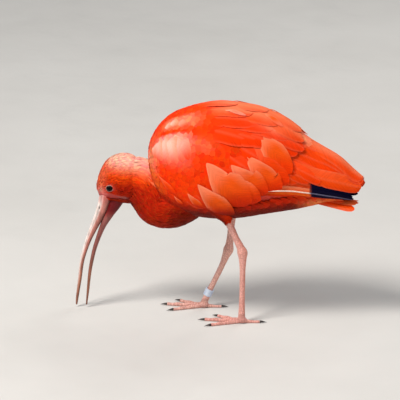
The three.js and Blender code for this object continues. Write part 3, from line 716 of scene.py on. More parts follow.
def skin_material():
    m = Nodes("skin")
    fine = m.noise(1400.0, 4.0)
    return m.finish(
        Base_Color=m.scaled(m.paint(), m.range(m.noise(240.0, 3.0), 0.3, 0.7, 0.72, 1.12)),
        Normal=m.bump(m.math("ADD", fine, m.noise(420.0, 3.0)), 0.0006),
        Roughness=m.range(fine, 0.3, 0.7, 0.38, 0.6),
        Subsurface_Weight=0.08,
        Subsurface_Radius=(0.004, 0.0015, 0.001),
    )


def bill_material():
    m = Nodes("bill_horn")
    streaks = m.add("ShaderNodeMapping")
    m.fill(streaks, Scale=(1.0, 1.0, 0.22), Vector=m.add("ShaderNodeTexCoord").outputs["Object"])
    patches = m.range(m.noise(230.0, 4.0, streaks.outputs[0]), 0.47, 0.62)
    grain = m.noise(1500.0, 3.0, streaks.outputs[0])
    return m.finish(
        Base_Color=m.blend(m.paint(), tuple(BILL_BROWN), m.math("MULTIPLY", patches, 0.36)),
        Roughness=m.range(grain, 0.3, 0.7, 0.3, 0.52),
        Normal=m.bump(m.math("ADD", grain, patches), 0.0003),
        Subsurface_Weight=0.06,
        Subsurface_Radius=(0.003, 0.0015, 0.001),
        Specular_IOR_Level=0.25,
    )


def leg_material():
    """Small round scales with grooves between them, by the vane map's millimetres."""
    m = Nodes("leg_scales")
    across, along = m.place()
    cells = m.add("ShaderNodeTexVoronoi", feature="DISTANCE_TO_EDGE")
    tiles = [m.math("MULTIPLY", place, 0.42) for place in (across, along)]
    m.fill(cells, Scale=1.0, Vector=m.flat(*tiles))
    groove = m.range(cells.outputs["Distance"], 0.02, 0.16)
    fine = m.noise(900.0, 3.0)
    stain = m.range(m.noise(90.0, 3.0), 0.45, 0.7)
    shade = m.blend(m.paint(), tuple(LEG_SHADE), m.math("MULTIPLY", stain, 0.28))
    return m.finish(
        Base_Color=m.blend(tuple(LEG_SHADE * 0.75), shade, m.math("MAXIMUM", groove, 0.5)),
        Roughness=m.range(fine, 0.3, 0.7, 0.36, 0.56),
        Normal=m.bump(m.math("ADD", groove, m.math("MULTIPLY", fine, 0.3)), 0.0003),
        Subsurface_Weight=0.05,
    )


def plain_material(name, low, high, scale, rough):
    """Two near shades mixed by noise, with a fine bump."""
    m = Nodes(name)
    return m.finish(
        Base_Color=m.blend(tuple(low), tuple(high), m.range(m.noise(scale, 4.0), 0.35, 0.65)),
        Roughness=m.range(m.noise(scale * 6, 2.0), 0.3, 0.7, rough * 0.8, rough * 1.2),
        Normal=m.bump(m.noise(scale * 5, 3.0), 0.0002),
    )


def eye_material():
    m = Nodes("eye_wet")
    grain = m.range(m.noise(2400.0, 2.0), 0.3, 0.7, 0.05, 0.09)
    return m.finish(Base_Color=m.paint(), Roughness=grain, Specular_IOR_Level=0.09)


# Colours with painted light and shade, the same for the skin and the coat
def body_paint(x, angle):
    """Colour of the body's plumage at a place along it and an angle round it, in radians, with painted shade
    low down, painted highlights on the shoulder and back, and painted light under the tail.
    """
    degrees = np.degrees(np.arctan2(np.sin(angle), np.abs(np.cos(angle))))
    sheen_patch = smooth(x, -103, -92) * (1 - smooth(x, -72, -44)) * smooth(degrees, 2, 34)
    shoulder_top_sheen = smooth(x, -98, -84) * (1 - smooth(x, -64, -36)) * smooth(degrees, 48, 58)
    under_tail_light = smooth(-degrees, 30, 50) * smooth(x, 92, 106)
    joint = smooth(-x, 84, 102) * smooth(-degrees, 2, 16) * (1 - smooth(-degrees, 36, 46))
    return layered(
        SCARLET,
        # Painted shade: deeper red low on the flank and under the wing, deepest under the belly
        (DEEP_RED, 0.4 * smooth(-degrees, -16, 20) * smooth(x, -60, 0)),
        (DEEP_RED, 0.85 * smooth(-degrees, 22, 44)),
        (SHADE_RED, smooth(-degrees, 32, 54) * smooth(x, -100, -50)),
        # Painted sheen: a pale pink patch on the shoulder and a salmon one on its top
        (PALE_PINK, 0.72 * sheen_patch * (1 - smooth(degrees, 42, 46))),
        (SALMON, 0.8 * shoulder_top_sheen * (1 - smooth(degrees, 66, 74))),
        (SALMON, 0.75 * smooth(-x, 94, 105) * bell((degrees, 8, 38))),
        # Painted highlights: a salmon spot behind the wrist and one on the back
        (SALMON, 0.45 * bell((x, -37, 15), (degrees, 32, 5))),
        (SALMON, 0.6 * bell((x, 66, 20), (degrees, 58, 9))),
        # Painted light under the tail, in pale streaks, where the wing shades it
        (PALE_ORANGE, 0.85 * under_tail_light),
        (SALMON, 0.6 * under_tail_light * (0.5 + 0.5 * np.sin(0.9 * x))),
        # Painted highlight along the top of the back
        (SALMON, 0.8 * smooth(degrees, 58, 76) * smooth(x, -44, 6)),
        (mix(ORANGE, PALE_ORANGE, 0.4), 0.75 * joint),
    )


def head_places(dx, dz):
    """Distance along the head's axis and up from it, of a place seen from the axis's foot."""
    ahead = dx * math.cos(HEAD_TILT) + dz * math.sin(HEAD_TILT)
    return ahead, dz * math.cos(HEAD_TILT) - dx * math.sin(HEAD_TILT)


FACE_FROM = np.array([-182.0, 168.6])
FACE_TO = np.array([-145.0, 167.6])
FACE_HALF = 5.6
FACE_END_HALF = 2.2


def bare_share(points):
    """1 on the bare skin from the eye's front and the bill's root back along the gape, 0 on the feathers."""
    p = points[..., [0, 2]]
    way = FACE_TO - FACE_FROM
    t = np.clip(((p - FACE_FROM) @ way) / (way @ way), 0, 1)
    off = np.linalg.norm(p - FACE_FROM - t[..., None] * way, axis=-1)
    half = FACE_HALF + (FACE_END_HALF - FACE_HALF) * np.sqrt(t)
    return 1 - smooth(off, half - 1.2, half + 1.2)


def front_paint(points):
    """Colour of the head's and neck's plumage: pink on the crown and nape and pale on the forehead, all
    painted highlight; deep red on the cheek; painted shade low on the cheek, chin and neck.
    """
    x = points[..., 0]
    z = points[..., 2]
    lit_forehead = smooth(-x, 168, 180) * smooth(z, 176, 184)
    chin = smooth(x, -178, -170) * (1 - smooth(x, -140, -130)) * smooth(-z, -169, -164)
    return layered(
        SCARLET,
        # Painted highlight: paler upward, to pink on the crown and nape
        (ORANGE, 0.5 * smooth(z, 182, 200)),
        (SALMON, 0.7 * smooth(z, 198, 212)),
        (PALE_PINK, 0.95 * smooth(z, 206, 221)),
        # Painted light on the forehead
        (layered(SCARLET, (ORANGE, 0.6), (SALMON, 0.4)), 0.85 * lit_forehead),
        (PALE_PINK, 0.75 * bell((x, -182, 6), (z, 175, 5))),
        (DEEP_RED, np.clip(1.2 * bell((x, -143, 22), (z, 179, 13)), 0, 1)),
        # Painted shade: deeper red low on the neck, the throat and the chin
        (DEEP_RED, 0.92 * smooth(-z, -206, -178) * smooth(x, -152, -128)),
        (SHADE_RED, 0.75 * bell((x, -133, 12), (z, 164, 10))),
        (SHADE_RED, 0.7 * chin),
        (SHADE_RED, 0.85 * smooth(x, -100, -74) * smooth(-z, -172, -146)),
        (SHADE_RED, 0.3 * smooth(-z, -146, -130)),
    )


def head_paint(points):
    x = points[..., 0]
    pink = layered(
        FACE_PINK,
        (FACE_CRIMSON, smooth(-points[..., 2], -171, -166)),
        (FACE_CRIMSON, smooth(x, -174, -168)),
        (FACE_CRIMSON * 0.55 + BILL_SIDE * 0.2, smooth(x, -160, -150)),
    )
    return mix(front_paint(points), pink, bare_share(points))


# Skin: one closed surface inside the plumage, with the wings, neck, head and thighs in it
SKIN_VOXEL = 1.7
COAT = {"body": 2.8, "neck": 2.0, "head": 1.0, "thigh": 2.0}


def loft_mesh(at, inside, stations, sides, shrink=0):
    """A closed mesh through rings of points of a surface, drawn in by a distance."""
    t, a = ring_places(stations, sides)
    middle = inside(t, a)
    out = at(t, a) - middle
    reach = np.linalg.norm(out, axis=-1, keepdims=True)
    p = middle + out * np.maximum(reach - shrink, 0.5) / np.maximum(reach, 1e-6)
    grid, quads = ring_quads(len(stations), sides)
    bm = bmesh.new()
    verts = [bm.verts.new(v) for v in p.reshape(-1, 3)]
    for face in (*quads[:, [0, 3, 2, 1]], grid[0], grid[-1][::-1]):
        bm.faces.new([verts[i] for i in face])
    bmesh.ops.recalc_face_normals(bm, faces=bm.faces)
    return bm


def remeshed(name, parts, voxel, rounds):
    """One smooth closed surface round several closed meshes, in millimetres."""
    mesh = bpy.data.meshes.new(name)
    whole = bmesh.new()
    for bm in parts:
        bm.to_mesh(mesh)
        bm.free()
        whole.from_mesh(mesh)
    whole.to_mesh(mesh)
    whole.free()
    thing = placed(name, mesh)
    remesh = thing.modifiers.new("remesh", "REMESH")
    remesh.mode = "VOXEL"
    remesh.voxel_size = voxel
    thing.modifiers.new("soften", "SMOOTH").iterations = rounds
    depsgraph = bpy.context.evaluated_depsgraph_get()
    done = bpy.data.meshes.new_from_object(thing.evaluated_get(depsgraph))
    points = np.empty(len(done.vertices) * 3, dtype=np.float32)
    done.vertices.foreach_get("co", points)
    quads = np.array([p.vertices[:] for p in done.polygons if len(p.vertices) == 4])
    bpy.data.objects.remove(thing)
    bpy.data.meshes.remove(mesh)
    bpy.data.meshes.remove(done)
    return points.reshape(-1, 3).astype(float), quads


def build_skin():
    thigh = np.linspace(0, 0.93, 14)
    lofts = (
        ("body", np.concatenate([[-114, -112, -109], np.arange(-105, 119, 8)]), 64),
        ("neck", np.linspace(0, 1, 22), 40),
        ("head", np.concatenate([[-2, -1, 0, 2], np.arange(4, 69, 4)]), 48),
        ("thigh_left", thigh, 28),
        ("thigh_right", thigh, 28),
    )
    parts = []
    for name, stations, sides in lofts:
        at, inside, _ = SURFACES[name]
        parts.append(loft_mesh(at, inside, stations, sides, COAT[name.split("_")[0]]))
    points, quads = remeshed("skin", parts, SKIN_VOXEL, 6)
    x = points[:, 0]
    angle = np.arctan2((points[:, 2] - column(BODY, x)[:, 4]) / 70, -points[:, 1] / 60)
    tone = mix(body_paint(x, angle), head_paint(points), smooth(-x, 100, 114))
    bake = np.stack([(x + 200) / 330, np.mod(angle / (2 * math.pi) + 0.5, 1)], -1)
    skin = make_mesh("skin", points, quads, tone, None, np.clip(bake, 0, 1))
    flesh = ["head", "neck_upper", "neck_lower", "torso"]
    paired = [f"{name}_{side}" for name in ("wing", "thigh") for side in ("left", "right")]
    finished(skin, SKIN, "plumage", *flesh, *paired)


# Coat of small feathers, in staggered rows along each surface
JITTER = 0.3


def summed(steps):
    return np.concatenate([[0], np.cumsum(steps)])


def run_along(points):
    """Distance from the start of a line of points to each of them."""
    return summed(np.linalg.norm(np.diff(points, axis=0), axis=-1))


def rows_along(surface, start, end, spacing):
    """Stations whose rows lie a given distance apart, measured on the fastest side of the surface."""
    t = np.linspace(start, end, 400)
    grid = SURFACES[surface][0](*ring_places(t, 60))
    run = summed(np.percentile(np.linalg.norm(np.diff(grid, axis=0), axis=-1), 60, axis=1))
    pace = spacing(t) + np.zeros(t.shape)
    turns = summed(np.diff(run) / ((pace[1:] + pace[:-1]) / 2))
    return np.interp(np.arange(0, turns[-1]), turns, t)


def spread(surface, start, end, row_gap, side_gap, rng):
    """Roots [along, degrees] in staggered rows. The gaps are functions of the place along."""
    at, _, step = SURFACES[surface]
    roots = []
    for i, t in enumerate(rows_along(surface, start, end, row_gap)):
        fine = np.linspace(0, 2 * math.pi, 361)
        run = run_along(at(np.full(fine.shape, t), fine))
        count = max(6, int(run[-1] / side_gap(t)))
        places = (np.arange(count) + 0.5 * (i % 2) + rng.uniform(-JITTER, JITTER, count)) / count * run[-1]
        angles = np.interp(np.mod(places, run[-1]), run, fine)
        speed = np.linalg.norm(partials(at, np.full(angles.shape, t), angles, step)[0], axis=-1)
        drift = rng.uniform(-JITTER, JITTER, count) * row_gap(t) / np.maximum(speed, 1e-3)
        roots.append(np.stack([t + drift, np.degrees(angles)], -1))
    return np.concatenate(roots)


def even(gap):
    return lambda t: gap


def on_surface(surface, roots):
    return SURFACES[surface][0](roots[:, 0], np.radians(roots[:, 1]))


def heading(surface, roots, length, turn):
    """Tips at a length from the roots, turned by some degrees from straight along to a growing angle."""
    at, _, step = SURFACES[surface]
    t = roots[:, 0]
    angle = np.radians(roots[:, 1])
    pt, pa = partials(at, t, angle, step)
    turn = np.radians(turn)
    dt = length * np.cos(turn) / np.maximum(np.linalg.norm(pt, axis=-1), 1e-6)
    da = length * np.sin(turn) / np.maximum(np.linalg.norm(pa, axis=-1), 3.0)
    return np.stack([t + dt, np.degrees(angle + da)], -1)


def folded(degrees):
    """Degrees round the body as degrees up from the flank of either side, and the side."""
    degrees = (degrees + 180) % 360 - 180
    up = np.where(np.abs(degrees) > 90, np.sign(degrees) * (180 - np.abs(degrees)), degrees)
    return up, np.where(np.abs(degrees) > 90, -1, 1)


# The wing's lower edge, and the line where the long feathers' roots start, in degrees up from the flank
WING_X = np.array([-114.0, -96, -82, -62, -38, -10, 20, 48, 75, 95, 110])
WING_LOW = np.array([-20.0, -31, -34, -36, -41, -46, -40, -33, -29, -27, -27])
LONG_ROOTS_X = np.array([-60.0, -38, -25, 10, 42, 60, 80, 100, 112])
LONG_ROOTS_UP = np.array([-40.0, -10, 8, 24, 36, 42, 56, 80, 95])


def body_feathers(rng):
    gap = lambda t: 4.8 + 2.6 * smooth(t, -100, -20)
    side = lambda t: 3.2 + 1.6 * smooth(t, -100, -20)
    roots = spread("body", -115, 150, gap, side, rng)
    x = roots[:, 0]
    up, _ = folded(roots[:, 1])
    low = np.interp(x, WING_X, WING_LOW)
    start = np.interp(x, LONG_ROOTS_X, LONG_ROOTS_UP)
    on_top = (up > start - 6) & (x < 100)
    roots = roots[on_top | ((up < low + 4) & (x < 146)) | (x < LONG_ROOTS_X[0])]
    x = roots[:, 0]
    up, side_of = folded(roots[:, 1])
    size = (0.62 + 0.38 * smooth(x, -108, -40)) * (1.0 + 0.5 * smooth(up, 20, 60) * smooth(x, -70, 30))
    length = rng.uniform(15, 20, len(roots)) * size
    width = rng.uniform(8.6, 11.2, len(roots)) * size
    on_wing = smooth(up, -44, -30) * smooth(-up, -60, -30)
    slope = -(8 + 32 * on_wing * smooth(x, -100, -30)) * smooth(-np.abs(up), -80, -55)
    tips = heading("body", roots, length, (slope + rng.normal(0, 4, len(roots))) * side_of)
    return lay_vanes(
        "body", roots, tips, width, -1.3, rng.uniform(0.05, 0.32, len(roots)), 0.3, 6, 5,
        curl=rng.uniform(-0.1, 0.12, len(roots)), tilt=rng.normal(0, 0.05, len(roots)), rise_rate=2.0,
    )


def tinted(base, laid, rng, edge=0.12, tip=0.14, spread_of=0.05):
    """Paint of like feathers: each a little lighter or darker, paler along its edges and at its tip, and
    darker at its root as painted shade.
    """
    count = len(base)
    base = mix(base, base[:, laid["columns"] // 2][:, None], 0.6)
    shade = 1 + rng.normal(0, spread_of, (count, 1, 1))
    warm = rng.uniform(-1, 1, (count, 1, 1)) * np.array([0.0, 0.3, 0.1])
    tone = base * np.clip(shade, 0.6, 1.35) * (1 + warm)
    rim = smooth(np.abs(laid["u"]), 0.55, 1.0) * smooth(laid["v"], 0.3, 0.6)
    end = smooth(laid["v"], 0.7, 1.0)
    light = np.clip(edge * rim + tip * end, 0, 1) * rng.uniform(0.2, 1, (count, 1))
    lit = 0.3 + 0.7 * tone[..., :1] / SCARLET[0]
    tone = mix(tone, np.maximum(PALE_ORANGE * lit, tone), light)
    # Painted shade darkens each root, under the feathers that cover it
    return tone * (1 - 0.12 * (1 - smooth(laid["v"], 0.2, 0.65)))[..., None]


def coat_pieces(name, laid, paint, material, pieces=1):
    """A coat as one piece, or several of a share of the vanes each."""
    count = len(laid["length"])
    for k in range(pieces):
        pick = slice(k * count // pieces, (k + 1) * count // pieces)
        part = {key: value[pick] if isinstance(value, np.ndarray) else value for key, value in laid.items()}
        piece = vane_object(f"{name}_{k}" if pieces > 1 else name, part, paint[pick])
        finished(piece, material, "plumage")


def inside_skin(points, margin):
    """True for points that lie well inside another of the bird's forms, where no feather shows."""
    s = column(BODY, points[:, 0])
    up = points[:, 2] - s[:, 4]
    reach = np.where(up > 0, s[:, 1] - s[:, 4], s[:, 4] - s[:, 2])
    within = np.hypot(up / np.maximum(reach - margin, 1), points[:, 1] / np.maximum(s[:, 3] - margin, 1))
    return (within < 1) & (points[:, 0] > BODY[0, 0] + margin) & (points[:, 0] < 110)


def neck_feathers(rng):
    roots = spread("neck", -0.13, 0.93, even(4.4), even(1.5), rng)
    roots = roots[~inside_skin(on_surface("neck", roots), 7)]
    roots = roots[rng.uniform(0, 1, len(roots)) < smooth(roots[:, 0], -0.18, 0.06)]
    grow = 1 + 0.35 * smooth(roots[:, 0], 0.1, 0.7)
    length = rng.uniform(10, 14, len(roots)) * grow
    tips = heading("neck", roots, length, rng.normal(0, 7, len(roots)))
    width = rng.uniform(2.0, 2.8, len(roots)) * grow
    return lay_vanes(
        "neck", roots, tips, width, -1.0, rng.uniform(0.1, 0.55, len(roots)), 0.3, 5, 3,
        curl=rng.uniform(-0.1, 0.5, len(roots)), tilt=rng.normal(0, 0.1, len(roots)), rise_rate=1.8,
    )


def head_feathers(rng):
    roots = spread("head", -2, 66, even(3.2), even(1.25), rng)
    points = on_surface("head", roots)
    eye = np.hypot(points[:, 0] - EYE[0], points[:, 2] - EYE[1])
    keep = (rng.uniform(0, 1, len(roots)) > bare_share(points) * 1.3) & (eye > EYE_RADIUS + 1.2)
    roots = roots[keep]
    eye = eye[keep]
    grow = 0.55 + 0.45 * smooth(eye, 7, 22)
    length = rng.uniform(7.5, 10, len(roots)) * grow
    tips = heading("head", roots, length, rng.normal(0, 7, len(roots)))
    width = rng.uniform(1.6, 2.3, len(roots)) * grow
    rear = 1 - 0.85 * smooth(roots[:, 0], 46, 60)
    return lay_vanes(
        "head", roots, tips, width, -0.6, rng.uniform(0.1, 0.45, len(roots)) * rear, 0.25, 4, 3,
        curl=rng.uniform(-0.1, 0.3, len(roots)) * rear, tilt=rng.normal(0, 0.1, len(roots)) * rear,
    )


def thigh_feathers(side, rng):
    name = f"thigh_{side}"
    roots = spread(name, 0.08, 0.84, even(3.0), even(2.8), rng)
    length = rng.uniform(7.5, 10.5, len(roots)) * (1 - 0.3 * smooth(roots[:, 0], 0.5, 0.84))
    tips = heading(name, roots, length, rng.normal(0, 6, len(roots)))
    width = rng.uniform(3.4, 5.0, len(roots))
    return lay_vanes(
        name, roots, tips, width, -1.6, rng.uniform(0.1, 0.6, len(roots)), 0.35, 5, 3,
        curl=rng.uniform(-0.4, 0.3, len(roots)), tilt=rng.normal(0, 0.12, len(roots)), rise_rate=2.0,
    )


# Long feathers of the wing. Each row: root and tip on the outline as x and degrees, bow in degrees, width,
# lift at the tip, how pale it is, and tilt
def fan(count, first, last):
    """Rows of like feathers whose sizes run evenly from the first to the last."""
    share = np.linspace(0, 1, count)[:, None]
    return np.asarray(first, float) * (1 - share) + np.asarray(last, float) * share


SHAPE_LONG = (0.5, 0.3, 0.8, 0.5)
SHAPE_BROAD = (0.45, 0.4, 0.62, 0.5)
SHAPE_KITE = (0.04, 0.5, 0.55, 0.56)
SHAPE_PATCH = (0.8, 0.2, 0.55, 0.5)
PRIMARIES = np.concatenate([
    # The first primary is pale: partly its own pale orange, partly painted light on its lower part, which
    # turns down away from the light
    [[38, -15.5, 176, -38, 11, 13.5, 0.9, 0.85, 0]],
    fan(5, [40, -18, 175, -40, 9, 14, -0.2, 0.1, 0], [60, 2, 166, 6, 3, 17, -1.0, 0.3, 0]),
])
SHAFT = [[46, -14.5, 174, -36, 10, 2.1, 2.9, 1, 0]]
SECONDARIES = fan(6, [2, -10, 56, -8, 0, 17, 0.6, 0.3, 0.7], [74, 22, 130, 14, 2, 22, 1.2, 0.15, 0.7])
TERTIALS = np.array([
    [78, 24, 185, 25, -7, 25, 2.3, 0.3, -0.9],
    [76, 32, 181, 34, -2, 24, 1.5, 0.1, 0.6],
    [84, 41, 186, 50, 0, 25, 1.9, 0.12, 0.7],
    [88, 57, 185, 68, 2, 26, 2.3, 0.18, 0.8],
    [92, 74, 183, 84, 2, 26, 2.7, 0.3, 0.8],
])
GREATER = fan(8, [-44, -6, -6, -40, 0, 24, 0.9, 0.05, -0.5], [52, 36, 98, 14, 0, 30, 1.3, 0.05, 0.5])
MEDIAN = fan(7, [-66, -10, -26, -36, 0, 22, 0.8, 0.05, 0.3], [20, 44, 74, 28, 0, 28, 1.1, 0.0, 0.3])
# Pale patch at the wrist: a painted sheen on the coverts there, its strength in the pale column
WRIST = np.array([
    [-101, 37, -96, 12, 0, 13, 0.35, 0.9, 0.1],
    [-94, 42, -88, 10, 0, 15, 0.6, 1.0, 0.2],
    [-85, 45, -78, 8, 0, 16, 0.5, 1.0, 0.1],
    [-76, 43, -67, 10, 0, 17, 0.75, 1.0, 0.25],
    [-67, 42, -57, 12, 0, 15, 0.5, 0.9, 0.15],
    [-59, 39, -48, 14, 0, 14, 0.6, 0.6, 0.2],
])
# Pale patch on the shoulder's top: a painted sheen as well
SHOULDER_TOP = np.array([
    [-86, 63, -77, 52, 0, 10, 0.5, 0.9, 0.2],
    [-78, 66, -67, 53, 0, 11, 0.7, 1.0, 0.3],
    [-68, 61, -54, 51, 0, 10, 0.5, 0.4, 0.1],
])
KITES = np.array([
    [43, 42, 91, 13, 3, 42, 2.9, 0.85, -0.6],
    [40, 31, 88, 0, 0, 32, 2.2, 0.25, -0.8],
    [31, 21, 79, -9, 0, 35, 2.6, 0.8, -1.0],
    [11, 12, 60, -15, 0, 35, 2.8, 0.85, -1.0],
    [0, 3, 50, -27, 0, 35, 2.9, 0.75, -1.1],
    [-23, 12, 36, -31, 2, 46, 3.1, 0.9, -1.1],
    [-35, -6, 11, -49, 2, 31, 3.1, 0.95, -0.9],
    [-50, -18, -29, -37, 0, 12, 1.8, 0.8, -0.2],
    [-70, -27, -57, -37, 0, 8, 1.6, 0.6, -0.2],
    [-92, -10, -66, -22, 0, 12, 1.4, 0.35, -0.2],
    # The last two lie high on the back as pale streaks, painted highlights
    [-6, 72, 26, 65, 0, 6.5, 4.0, 1.2, 0.3],
    [46, 79, 76, 67, 0, 10, 3.2, 1.0, 0.3],
])
SCAPULARS = fan(5, [-40, 47, 36, 37, 0, 29, 1.4, 0.0, 0.6], [26, 46, 98, 41, 0, 30, 1.7, 0.0, 0.6])
UPPER_SCAPULARS = np.concatenate([
    fan(4, [-40, 60, 44, 60, 0, 28, 1.8, 0.0, 1.0], [24, 60, 106, 53, -1, 30, 2.2, 0.05, 1.0]),
    fan(3, [-44, 74, 36, 72, 0, 27, 2.1, 0.2, 1.0], [24, 73, 104, 67, 0, 30, 2.6, 0.3, 1.0]),
    fan(3, [-64, 89, 10, 88, 0, 26, 2.2, 0.15, 0.3], [16, 88, 98, 84, 0, 28, 2.9, 0.35, 0.3]),
])
PRIMARY_DARK = 117.0
LONG_COLUMNS = 9


def long_feathers(table, rng, shape, rows, thick=0.7, sunk=-2.0, jitter=1.5, rise_rate=1.5):
    table = np.array(table, float)
    table[:, 2] += rng.uniform(-jitter, jitter, len(table))
    table[:, 3] += rng.uniform(-jitter, jitter, len(table)) * 0.5
    notch = np.zeros((len(table), rows, LONG_COLUMNS))
    half = LONG_COLUMNS // 2
    for feather in range(len(table)):
        for _ in range(rng.integers(0, 3)):
            row = rng.integers(rows // 3, rows - 1)
            edge = slice(0, half) if rng.random() < 0.5 else slice(half + 1, LONG_COLUMNS)
            notch[feather, row, edge] = rng.uniform(0.04, 0.14)
    laid = lay_vanes(
        "body", table[:, :2], table[:, 2:4], table[:, 5], sunk, table[:, 6], thick, rows, LONG_COLUMNS,
        bow=table[:, 4], tilt=table[:, 8], shape=shape, ragged=notch, rise_rate=rise_rate,
    )
    return laid | {"pale": table[:, 7][:, None]}


def long_paint(laid, rng, tip_from=None, root_sheen=False):
    """Painted shade makes it redder low down and along the lower edge, and darker at the root; a painted
    highlight pales the upper edge; dark beyond tip_from. root_sheen pales the root with a painted sheen.
    """
    pale = laid["pale"]
    v = laid["v"]
    under = body_paint(laid["t"], laid["angle"])
    # A painted sheen pales the root towards pink
    if root_sheen:
        base = mix(under, mix(PALE_PINK, PINK_WHITE, 0.35), 0.9 * pale * (1 - smooth(v, 0.1, 0.95)))
    else:
        whole = np.clip(pale, 0, 1) ** 2
        # Painted shade along the lower edge, but not on pale feathers
        lower_shade = smooth(-laid["u"], 0.0, 0.9) * smooth(v, 0.2, 1.0) * (1 - whole)
        base = layered(
            under,
            (ORANGE, np.clip(1.6 * pale, 0, 1)),
            (PALE_ORANGE, whole * (0.3 + 0.4 * v)),
            (mix(SCARLET, DEEP_RED, 0.35), 0.65 * lower_shade),
        )
    # Painted highlight along the upper edge
    upper = smooth(laid["u"], -0.35, 0.9) * (1 - 0.6 * smooth(v, 0.5, 1.0))
    tone = layered(
        base * (1 + rng.normal(0, 0.03, (len(v), 1, 1))),
        (SALMON, np.clip(0.05 + 0.75 * pale**2, 0, 1) * upper),
        (SALMON, 0.18 * smooth(np.abs(laid["u"]), 0.84, 1.0) * smooth(v, 0.3, 0.5)),
        (SALMON, 0.14 * bell((laid["u"], 0, 0.07))),
    )
    # Painted shade darkens the root, under the feathers that cover it
    tone = tone * (1 - 0.25 * (1 - smooth(v, 0.05, 0.35)))[..., None]
    if tip_from is not None:
        tone = mix(tone, NAVY, smooth(laid["points"][..., 0], tip_from - 1.2, tip_from + 1.2))
    return tone


def kite_paint(laid, rng):
    """Pale at the root and along both edges, and redder towards the tip, where painted shade darkens the lower
    side and the tip takes the body's colour.
    """
    pale = np.clip(laid["pale"], 0, 1)
    u = laid["u"]
    v = laid["v"]
    rim = smooth(np.abs(u), 0.6, 0.97) * (1 - smooth(v, 0.45, 0.85))
    tone = layered(
        SCARLET,
        (mix(ORANGE, PALE_ORANGE, 0.3), 0.85 * pale),
        (SALMON, 0.8 * pale * (1 - smooth(v, 0.08, 0.5))),
        (SALMON, 0.8 * pale * rim),
        # Painted shade on the lower side towards the tip
        (mix(SCARLET, DEEP_RED, 0.5), 0.75 * smooth(-u, -0.6, 0.7) * smooth(v, 0.3, 0.95)),
        (body_paint(laid["t"], laid["angle"]), 0.92 * smooth(v - 0.12 * u, 0.5, 0.9)),
        # Pale above 1 whitens a feather, a painted highlight
        (PINK_WHITE, np.clip(laid["pale"] - 1, 0, 1)),
    )
    return tone * (1 + rng.normal(0, 0.03, (len(tone), 1, 1)))


def shaft_paint(laid, rng):
    x = laid["points"][..., 0]
    edge = smooth(x, PRIMARY_DARK - 1.5, PRIMARY_DARK + 1.5)
    return layered(ORANGE, (PINK_WHITE, smooth(x, 46, 56)), (SHAFT_GREY, edge))


def mirrored(laid):
    """The same vanes on the right side."""
    bake = laid["bake"].copy()
    turn = (bake[:, 1] - BAKE_EDGE) / BAKE_BODY
    bake[:, 1] = BAKE_EDGE + BAKE_BODY * np.mod(1.5 - turn, 1)
    return laid | {"points": laid["points"] * np.array([1, -1, 1]), "bake": bake}


def build_wing(side, seed):
    """One wing's tiers: name, feathers, shape, rows of points, how they lie, and their paint."""
    rng = np.random.default_rng(seed)
    raised = {"jitter": 0, "sunk": 0.6, "rise_rate": 3.0}
    sheen_patch = {"jitter": 1.0, "sunk": -0.4, "rise_rate": 4.0, "thick": 0.4}
    dark_tip = lambda laid, rng: long_paint(laid, rng, PRIMARY_DARK)
    root_sheen = lambda laid, rng: long_paint(laid, rng, root_sheen=True)
    tiers = (
        ("flight_primaries", PRIMARIES, SHAPE_LONG, 60, {}, dark_tip),
        ("secondaries", SECONDARIES, SHAPE_LONG, 28, {}, long_paint),
        ("tertials", TERTIALS, SHAPE_LONG, 34, {}, long_paint),
        ("greater_coverts", GREATER, SHAPE_BROAD, 26, {}, long_paint),
        ("median_coverts", MEDIAN, SHAPE_BROAD, 20, {}, long_paint),
        ("lower_scapulars", SCAPULARS, SHAPE_BROAD, 30, {}, long_paint),
        ("upper_scapulars", UPPER_SCAPULARS, SHAPE_BROAD, 30, {}, long_paint),
        ("wrist_coverts", WRIST, SHAPE_PATCH, 18, sheen_patch, root_sheen),
        ("shoulder_coverts", SHOULDER_TOP, SHAPE_PATCH, 18, sheen_patch, root_sheen),
        ("pale_coverts", KITES, SHAPE_KITE, 30, raised, kite_paint),
        ("white_shaft", SHAFT, SHAPE_LONG, 60, raised, shaft_paint),
    )
    nodes = {"flight_primaries": (f"primaries_{side}", f"primary_tips_{side}")}
    for name, table, shape, rows, how, painted in tiers:
        laid = long_feathers(table, rng, shape, rows, **how)
        paint = painted(laid, rng)
        tier = vane_object(f"{name}_{side}", laid if side == "left" else mirrored(laid), paint)
        if side == "right":
            tier.data.flip_normals()
        finished(tier, FLIGHT, "plumage", *nodes.get(name, ()))


# Tail: feathers in pairs, fanned in a low roof
TAIL_SHARES = (0.0, 0.12, 0.24, 0.7, 0.86, 1.0)
TAIL_STEP = 1.5
TAIL_ROOT = 104.0
TAIL_TIP = 178.5
TAIL_OUTER_TIP = 176.5
TAIL_HIGH = 182.2
TAIL_SPREAD = 16.0
TAIL_DROP = 6.5
TAIL_FALL = 13.5
TAIL_WIDTH = 12.5
TAIL_LAYER = 0.09
TAIL_COLUMNS = 7


